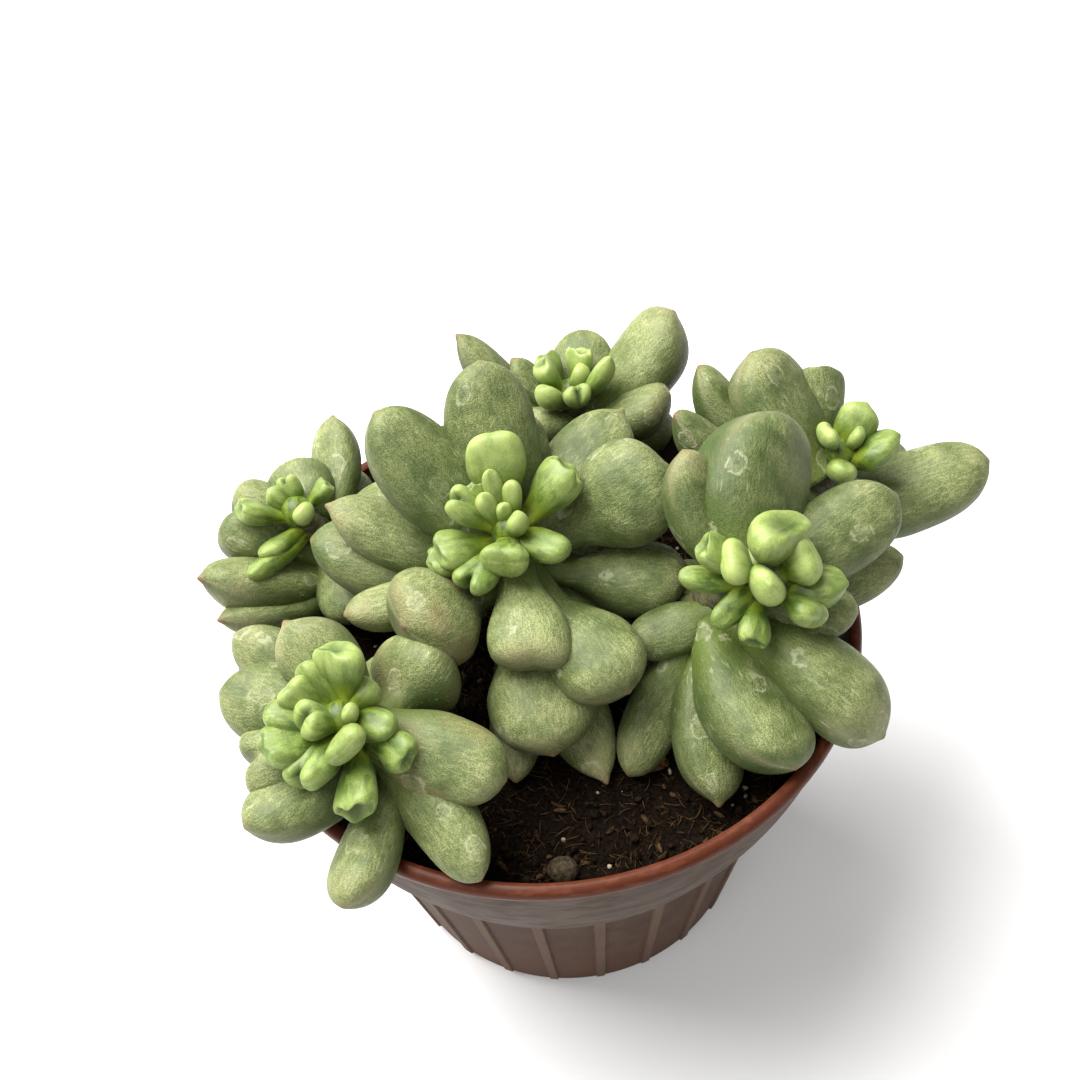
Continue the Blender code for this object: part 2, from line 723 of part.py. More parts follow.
    def push_from_stems(self, centre, axes, stems, owner):
        """How far each sample must move to clear the stems of other rosettes."""
        push = np.zeros_like(centre)
        for node, points in stems:
            apart = centre[:, None] - points[None, :]
            distance = np.linalg.norm(apart, axis=2) + 1e-9
            toward = apart / distance[..., None]
            size = np.sqrt(sum(np.einsum("ijk,ik->ij", toward, axis) ** 2 for axis in axes))
            crowd = np.clip(size + STEM_RADIUS + GAP - distance, 0.0, 2.0 * MM)
            crowd[self.node[owner] == node] = 0.0
            push += (toward * crowd[..., None]).sum(1)
        return push

    def leaf_mesh(self, index, sides, rings, grow=0.0):
        """One leaf's mesh: a sphere stretched along the midline and shaped by its form."""
        form = self.forms[index]
        side, face = (vectors[index] for vectors in self.frames())
        bm = bmesh.new()
        bmesh.ops.create_uvsphere(bm, u_segments=sides, v_segments=rings, radius=1.0)
        for vert in bm.verts:
            vert.co = self.place(index, form, np.array(vert.co), side, face, grow)
        return mesh_of(bm, "leaf")

    def place(self, index, form, ball, side, face, grow):
        """Where a point of the unit sphere goes on a leaf, whose neck is at its south pole."""
        along = 0.5 * (ball[2] + 1.0)
        ring = math.hypot(ball[0], ball[1])
        across, up = ball[:2] / ring if ring > 1e-6 else (0.0, 0.0)
        share = float(outline(form, np.array(along)))
        late = max(along - 0.4, 0.0) ** 2 / 0.36
        step = along + form.lobes * late * (abs(across) - 0.5) + form.lean * late * across * 0.5
        if ring <= 1e-6 and along > 0.5:
            step = 1.0 + form.point - form.dimple - 0.5 * form.lobes
        half_width = self.width[index] / 2 * share + grow
        half_thick = self.thick[index] / 2 * max(share, form.neck) + grow
        half_thick *= UPPER_FACE if up > 0 else LOWER_FACE
        length = self.length[index]
        sag = 0.5 * self.bend[index] * length * along * (1.0 - along)
        spine = self.base[index] + self.way[index] * (length * step + grow * (2.0 * along - 1.0))
        tip_lift = TIP_LIFT * self.thick[index] * late * (form.point > 0)
        return spine + side * (half_width * across) + face * (half_thick * up - sag + tip_lift)


def room_to_wall(rosette, turn, down):
    """How far level, in millimetres, a leaf can reach before the pot's wall, or 0 where it starts over it."""
    base = (np.array(rosette.heart) - axis_of(rosette) * down)[:2]
    along = float(base @ direction(turn, 0.0)[:2])
    if along <= 0:
        return 0.0
    inside = (RIM_RADIUS - RIM_INNER) / MM
    return math.sqrt(max(inside**2 - float(base @ base) + along**2, along**2)) - along


def back_leaves(rosette, chance):
    """Old leaves that droop on the far side of a rosette, fanned about +Y."""
    for index in range(rosette.back):
        turn = 90.0 + BACK_SPREAD * (index - 0.5 * (rosette.back - 1)) + chance.uniform(-6.0, 6.0)
        length = chance.uniform(22.0, 27.0)
        down = chance.uniform(8.0, 12.0)
        rise = chance.uniform(-34.0, -24.0)
        room = room_to_wall(rosette, turn, down)
        if room > LEAST_ROOM:
            length = min(length, room / math.cos(math.radians(rise)))
        yield Leaf(turn, rise, length, BACK_WIDTH * length, down, "egg", give=SOFT)


def stem_points(rosette):
    """Points up a rosette's stem, from its foot in the soil to its heart, along a smooth bend."""
    x, y = (value * MM for value in rosette.foot)
    start = np.array((x, y, soil_height(x, y) + 1.5 * MM))
    end = np.array(rosette.heart) * MM
    hold = 0.4 * np.linalg.norm(end - start)
    controls = (start, start + np.array((0.0, 0.0, hold)), end - axis_of(rosette) * hold, end)
    shares = np.linspace(0.0, 1.0, STEM_POINTS)[:, None]
    weights = ((1 - shares) ** 3, 3 * shares * (1 - shares) ** 2, 3 * shares**2 * (1 - shares), shares**3)
    bend = sum(weight * control for weight, control in zip(weights, controls))
    foot = np.array((x, y, SOIL_EDGE - STEM_DEPTH))
    return np.vstack([foot, bend])


def make_stem(rosette, name, collection, material, grow=0.0):
    """A rosette's stem as a mesh: a round tube through its points."""
    curve = bpy.data.curves.new(name, "CURVE")
    curve.dimensions = "3D"
    curve.bevel_depth = STEM_RADIUS + grow
    curve.bevel_resolution = 2
    curve.use_fill_caps = True
    points = stem_points(rosette)
    spline = curve.splines.new("POLY")
    spline.points.add(len(points) - 1)
    for point, place in zip(spline.points, points):
        point.co = (*place, 1.0)
    tube = bpy.data.objects.new(name, curve)
    collection.objects.link(tube)
    bpy.context.view_layer.update()
    graph = bpy.context.evaluated_depsgraph_get()
    mesh = bpy.data.meshes.new_from_object(tube.evaluated_get(graph))
    bpy.data.objects.remove(tube, do_unlink=True)
    bm = bmesh.new()
    bm.from_mesh(mesh)
    bmesh.ops.remove_doubles(bm, verts=bm.verts, dist=0.00001)
    bmesh.ops.recalc_face_normals(bm, faces=bm.faces)
    bm.to_mesh(mesh)
    bm.free()
    return add_object(name, mesh, collection, material)


def core_mesh(rosette, grow=0.0):
    """The growing tip at a rosette's heart: a small ball that its young leaves stand on."""
    bm = bmesh.new()
    place = Vector(np.array(rosette.heart) * MM + axis_of(rosette) * 0.5 * MM)
    radius = CORE_RADIUS + grow
    seat = Matrix.Translation(place)
    bmesh.ops.create_uvsphere(bm, u_segments=8, v_segments=6, radius=radius, matrix=seat)
    return mesh_of(bm, "core")


def near(growth, first, second):
    """Whether two leaves' bounding balls come near each other."""
    centres = growth.base + growth.way * (growth.length / 2)[:, None]
    reach = 0.5 * (growth.length[first] + growth.length[second]) + 2.0 * MM
    return np.linalg.norm(centres[first] - centres[second]) < reach


def grow_plants():
    """Every leaf of every rosette, leaning clear: young leaves first, since old ones give way to them."""
    chance = random.Random(7)
    leaves, owners, nodes = [], [], []
    for index, rosette in enumerate(ROSETTES):
        for leaf in rosette.young:
            leaves.append(leaf)
            owners.append(rosette)
            nodes.append(index)
    for index, rosette in enumerate(ROSETTES):
        for leaf in (*rosette.old, *back_leaves(rosette, chance)):
            leaves.append(leaf)
            owners.append(rosette)
            nodes.append(len(ROSETTES) + index)
    growth = Growth(leaves, owners, nodes)
    stems = [(len(ROSETTES) + index, stem_points(rosette)[:-2]) for index, rosette in enumerate(ROSETTES)]
    growth.lean_clear(stems)
    return growth


def make_heart(growth, index, collection, tools, material):
    """A rosette's young leaves, joined on its growing tip."""
    rosette = ROSETTES[index]
    heart = add_object(f"heart_{rosette.name}", core_mesh(rosette), collection, material)
    for leaf in np.flatnonzero(growth.node == index):
        add_object(f"young_{leaf}", growth.leaf_mesh(leaf, YOUNG_SIDES, YOUNG_RINGS), tools)
    boolean(heart, tools, "UNION")
    return finish(heart, material)


def make_rosette(growth, index, collection, tools, material):
    """A rosette's old leaves, joined on its stem and trimmed clear of the leaves that they touch."""
    rosette = ROSETTES[index]
    node = len(ROSETTES) + index
    first, *rest = mine = np.flatnonzero(growth.node == node)
    mesh = growth.leaf_mesh(first, OLD_SIDES, OLD_RINGS)
    plant = add_object(f"rosette_{rosette.name}", mesh, collection, material)
    for leaf in rest:
        add_object(f"old_{leaf}", growth.leaf_mesh(leaf, OLD_SIDES, OLD_RINGS), tools)
    boolean(plant, tools, "UNION")
    make_ground(tools)
    for place, half in LOOSE_THINGS:
        add_object("clear_lump", lump_mesh(place, half, grow=CLEAR), tools)
    boolean(plant, tools, "DIFFERENCE")
    make_stem(rosette, "stem", tools, None)
    boolean(plant, tools, "UNION")
    for other in np.flatnonzero(growth.node < node):
        young = growth.node[other] < len(ROSETTES)
        if growth.node[other] == index or any(near(growth, other, leaf) for leaf in mine):
            counts = (YOUNG_SIDES, YOUNG_RINGS) if young else (OLD_SIDES, OLD_RINGS)
            add_object(f"clear_{other}", growth.leaf_mesh(other, *counts, grow=CLEAR), tools)
    for earlier in ROSETTES[:index]:
        make_stem(earlier, f"clear_stem_{earlier.name}", tools, None, grow=CLEAR)
    for beside in ROSETTES:
        add_object(f"clear_core_{beside.name}", core_mesh(beside, grow=CLEAR), tools)
    boolean(plant, tools, "DIFFERENCE")
    return finish(plant, material)


def finish(obj, material):
    """One clean body with its material and smooth shading."""
    keep_one_body(obj)
    obj.data.materials.clear()
    obj.data.materials.append(material)
    obj.data.shade_smooth()
    obj.data.set_sharp_from_angle(angle=math.radians(50.0))
    return obj


def main():
    """Build the pot, the soil and what lies on it, then the rosettes."""
    clear_scene()
    parts = new_collection("potted_succulent")
    tools = new_collection("tools")
    tools.hide_render = True
    plastic = new_material("pot_plastic", (0.30, 0.16, 0.10), 0.45)
    earth = new_material("soil", (0.035, 0.024, 0.017), 0.95)
    old_green = new_material("old_leaf", (0.23, 0.30, 0.15), 0.5)
    young_green = new_material("young_leaf", (0.30, 0.50, 0.13), 0.35)
    stone = new_material("pebble", (0.23, 0.21, 0.18), 0.8)
    dry_brown = new_material("dry_leaf", (0.22, 0.12, 0.05), 0.8)

    make_pot(parts, tools, plastic)
    add_object("pebble", lump_mesh(PEBBLE_PLACE, PEBBLE_HALF), parts, stone)
    add_object("dry_leaf", lump_mesh(DRY_LEAF_PLACE, DRY_LEAF_HALF), parts, dry_brown)
    seats = [lump_mesh(place, half, grow=GAP) for place, half in LOOSE_THINGS]
    make_soil(parts, tools, earth, [hole_mesh(rosette) for rosette in ROSETTES] + seats)
    growth = grow_plants()
    for index in range(len(ROSETTES)):
        make_heart(growth, index, parts, tools, young_green)
        make_rosette(growth, index, parts, tools, old_green)
    bpy.data.collections.remove(tools)


main()
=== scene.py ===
"""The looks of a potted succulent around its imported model: six rosettes of thick leaves in a ribbed pot.

Metres, +Z up, with the origin at the centre of the pot's base and the front towards -Y. The leaves stand by
the same tables and the same leaning rule as the solids that they replace, with finer surfaces.
"""

import logging
import math
import random
from dataclasses import dataclass, field
from enum import Enum
from typing import Any, Iterator

import bmesh
import bpy
import numpy as np
from mathutils import Matrix, Vector, noise


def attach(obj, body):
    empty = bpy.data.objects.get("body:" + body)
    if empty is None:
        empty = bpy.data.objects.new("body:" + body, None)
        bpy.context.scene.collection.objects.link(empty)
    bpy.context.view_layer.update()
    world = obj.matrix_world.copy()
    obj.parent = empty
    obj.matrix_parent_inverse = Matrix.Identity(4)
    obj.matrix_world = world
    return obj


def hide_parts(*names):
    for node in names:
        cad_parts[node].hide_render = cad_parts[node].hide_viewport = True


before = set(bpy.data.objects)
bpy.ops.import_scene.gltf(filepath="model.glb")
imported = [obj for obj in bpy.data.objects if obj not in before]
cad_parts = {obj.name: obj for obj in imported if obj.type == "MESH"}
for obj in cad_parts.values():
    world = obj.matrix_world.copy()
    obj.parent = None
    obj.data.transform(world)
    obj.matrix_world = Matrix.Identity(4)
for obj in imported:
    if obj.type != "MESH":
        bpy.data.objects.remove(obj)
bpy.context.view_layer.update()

LOG = logging.getLogger("potted_succulent")
BODY = "root"

MM = 0.001
GAP = 0.3 * MM
STEM_RADIUS = 3.0 * MM
LEANING_POINTS = 9

# Where the chance draws start for the drooping leaves, the leaves' skins and the soil
GROWTH_SEED = 7
SKIN_SEED = 21
SOIL_SEED = 5

# How bluntly a leaf's outline closes, and how far it narrows at its very end
END_POWER = 2.6
END_DROP = 0.97

# How far a leaf gives way to its neighbours
TIGHT = 0.08
FIRM = 0.3
SOFT = 1.0

Colour = tuple[float, float, float]
Place = tuple[float, float, float]
Pair = tuple[float, float]


class Expr:
    """A shader socket that takes part in Python arithmetic by adding Math nodes."""

    def __init__(self, tree: "ShaderTree", socket: bpy.types.NodeSocket) -> None:
        """Keep the output socket and the tree that new nodes go into."""
        self.tree = tree
        self.socket = socket

    def _math(self, operation: str, first: Any, second: Any) -> "Expr":
        """A Math node on two values, each a number or an Expr."""
        return self.tree.add("ShaderNodeMath", {"operation": operation}, {0: first, 1: second})

    def __add__(self, other: Any) -> "Expr":
        """Sum."""
        return self._math("ADD", self, other)

    def __radd__(self, other: Any) -> "Expr":
        """Sum, from the right."""
        return self._math("ADD", other, self)

    def __sub__(self, other: Any) -> "Expr":
        """Difference."""
        return self._math("SUBTRACT", self, other)

    def __rsub__(self, other: Any) -> "Expr":
        """Difference, from the right."""
        return self._math("SUBTRACT", other, self)

    def __mul__(self, other: Any) -> "Expr":
        """Product."""
        return self._math("MULTIPLY", self, other)

    def __rmul__(self, other: Any) -> "Expr":
        """Product, from the right."""
        return self._math("MULTIPLY", other, self)


class ShaderTree:
    """A material's node tree, with one method that makes every node."""

    def __init__(self, name: str) -> None:
        """Make the material with an empty tree.

        Args:
            name: The material's name.
        """
        self.material = bpy.data.materials.new(name)
        self.material.use_nodes = True
        self.tree = self.material.node_tree
        self.tree.nodes.clear()

    def _node(self, kind: str, settings: dict[str, Any], inputs: dict[Any, Any]) -> bpy.types.Node:
        """Make a node, with its settings first and then its inputs.

        Args:
            kind: The node's type name.
            settings: Property values, by name.
            inputs: Socket values or links, by socket name or number.

        Returns:
            The node.
        """
        node = self.tree.nodes.new(kind)
        for name, value in settings.items():
            setattr(node, name, value)
        for key, value in inputs.items():
            if isinstance(value, Expr):
                self.tree.links.new(value.socket, node.inputs[key])
            else:
                node.inputs[key].default_value = value
        return node

    def add(self, kind: str, settings: dict[str, Any], inputs: dict[Any, Any], output: Any = 0) -> Expr:
        """Add a node and give one of its outputs, by number or name."""
        return Expr(self, self._node(kind, settings, inputs).outputs[output])

    def here(self) -> Expr:
        """The point being shaded, in the object's own metres."""
        return self.add("ShaderNodeTexCoord", {}, {}, "Object")

    def stored(self, name: str, output: str = "Fac") -> Expr:
        """A value stored on the mesh's points, or a place with the output Vector."""
        return self.add("ShaderNodeAttribute", {"attribute_name": name}, {}, output)

    def level(self, at: Expr) -> Expr:
        """The height of a place."""
        return self.add("ShaderNodeSeparateXYZ", {}, {0: at}, "Z")

    def stretch(self, at: Expr, x: float, y: float, z: float) -> Expr:
        """A place with its coordinates scaled, which stretches a pattern where the factor is under 1."""
        return self.add("ShaderNodeVectorMath", {"operation": "MULTIPLY"}, {0: at, 1: (x, y, z)})

    def smooth(self, value: Expr, low: float, high: Any) -> Expr:
        """A smooth step of a value, from 0 at the low one to 1 at the high one."""
        settings = {"interpolation_type": "SMOOTHSTEP", "clamp": True}
        return self.add("ShaderNodeMapRange", settings, {"Value": value, "From Min": low, "From Max": high})

    def noise(self, at: Expr, grain: float, detail: float = 2.0, rough: float = 0.5) -> Expr:
        """Smooth noise about 0.5, with blotches of a size in metres and a number of finer layers."""
        sockets = {"Vector": at, "Scale": 1.0 / grain, "Detail": detail, "Roughness": rough}
        return self.add("ShaderNodeTexNoise", {}, sockets)

    def cells(self, at: Expr, grain: float, output: str = "Distance") -> Expr:
        """Voronoi cells of a size in metres, by their distance or colour."""
        return self.add("ShaderNodeTexVoronoi", {}, {"Vector": at, "Scale": 1.0 / grain}, output)

    def mix(self, share: Any, first: Any, second: Any) -> Expr:
        """Blend two colours.

        Args:
            share: How much of the second is used.
            first: A colour or an Expr.
            second: A colour or an Expr.

        Returns:
            The colour.
        """
        first, second = ((*side, 1.0) if isinstance(side, tuple) else side for side in (first, second))
        settings = {"data_type": "RGBA", "clamp_factor": True}
        return self.add("ShaderNodeMix", settings, {0: share, 6: first, 7: second}, 2)

    def layers(self, colour: Any, *coats: tuple[Any, Any]) -> Any:
        """Lay coats over a colour, one after the other.

        Args:
            colour: A colour or an Expr.
            coats: Pairs of how much is used and a colour or an Expr.

        Returns:
            The colour.
        """
        for share, coat in coats:
            colour = self.mix(share, colour, coat)
        return colour

    def finish(
        self,
        constants: dict[str, Any],
        varying: dict[str, Expr],
        bump: tuple[Expr, float, float] | None = None,
    ) -> bpy.types.Material:
        """End the tree in a Principled shader.

        Args:
            constants: Values set on the shader's own sockets.
            varying: What changes over the surface.
            bump: A height, its depth in metres and its strength.

        Returns:
            The material.
        """
        sockets = {**constants, **varying}
        if bump:
            height, depth, strength = bump
            values = {"Height": height, "Distance": depth, "Strength": strength}
            sockets["Normal"] = self.add("ShaderNodeBump", {}, values)
        shader = self.add("ShaderNodeBsdfPrincipled", {}, sockets)
        self._node("ShaderNodeOutputMaterial", {}, {"Surface": shader})
        return self.material


class Shape(Enum):
    """The kinds of leaf on the plant."""

    EGG = "egg"
    OVAL = "oval"
    BALL = "ball"
    KEEL = "keel"
    SPOON = "spoon"
    CLUB = "club"
    KIDNEY = "kidney"
    BUD = "bud"
    BEAN = "bean"
    CUP = "cup"
    TRUMPET = "trumpet"
    PAIR = "pair"


@dataclass(frozen=True)
class Form:
    """How a leaf's outline runs from its neck to its tip, as shares of its length, width and thickness."""

    neck: float
    widest: float
    thick: float
    point: float = 0.0
    dimple: float = 0.0
    lobes: float = 0.0
    lean: float = 0.0
    shoulder: float = 0.0

    def width_at(self, along: np.ndarray) -> np.ndarray:
        """The leaf's half width at each share of its length.

        Args:
            along: Shares of the length.

        Returns:
            Shares of the widest half width.
        """
        swell = np.clip((along / self.widest - self.shoulder) / (1.0 - self.shoulder), 0, 1)
        rise = self.neck + (1.0 - self.neck) * np.sin(0.5 * np.pi * swell) ** 2
        end = np.clip((along - self.widest) / (1.0 - self.widest), 0, 1)
        return np.where(along < self.widest, rise, np.sqrt(1.0 - END_DROP * end**END_POWER))


FORMS = {
    Shape.EGG: Form(neck=0.46, widest=0.62, thick=0.80, point=0.02),
    Shape.OVAL: Form(neck=0.60, widest=0.52, thick=0.80, point=0.015),
    Shape.BALL: Form(neck=0.38, widest=0.69, thick=0.82, point=0.02, shoulder=0.42),
    Shape.KEEL: Form(neck=0.46, widest=0.58, thick=0.74, point=0.05),
    Shape.SPOON: Form(neck=0.36, widest=0.70, thick=0.60, lobes=0.05, shoulder=0.20),
    Shape.CLUB: Form(neck=0.50, widest=0.66, thick=0.86, point=0.01, shoulder=0.10),
    Shape.KIDNEY: Form(neck=0.50, widest=0.74, thick=0.78, lobes=0.08, lean=0.15, shoulder=0.30),
    Shape.BUD: Form(neck=0.60, widest=0.60, thick=0.86),
    Shape.BEAN: Form(neck=0.70, widest=0.50, thick=0.84, lean=0.06),
    Shape.CUP: Form(neck=0.46, widest=0.76, thick=0.72, dimple=0.08, shoulder=0.15),
    Shape.TRUMPET: Form(neck=0.42, widest=0.82, thick=0.76, dimple=0.14, shoulder=0.20),
    Shape.PAIR: Form(neck=0.52, widest=0.70, thick=0.76, lobes=0.16, shoulder=0.10),
}


@dataclass(frozen=True)
class Leaf:
    """A leaf: the way it points, its size in millimetres, how far down the stem it starts, and its blush."""

    turn: float
    rise: float
    length: float
    width: float
    down: float
    shape: Shape = Shape.EGG
    roll: float = 0.0
    curl: float = 18.0
    give: float = FIRM
    blush: float = 0.0


@dataclass(frozen=True)
class Rosette:
    """A rosette: its heart's place, the way its axis leans, where its stem enters the soil, its leaves."""

    name: str
    heart: Place
    lean: float
    toward: float
    foot: Pair
    old: tuple[Leaf, ...]
    young: tuple[Leaf, ...]
    back: int

    def axis(self) -> np.ndarray:
        """The unit vector that the rosette's heart faces."""
        return direction(self.toward, 90.0 - self.lean)


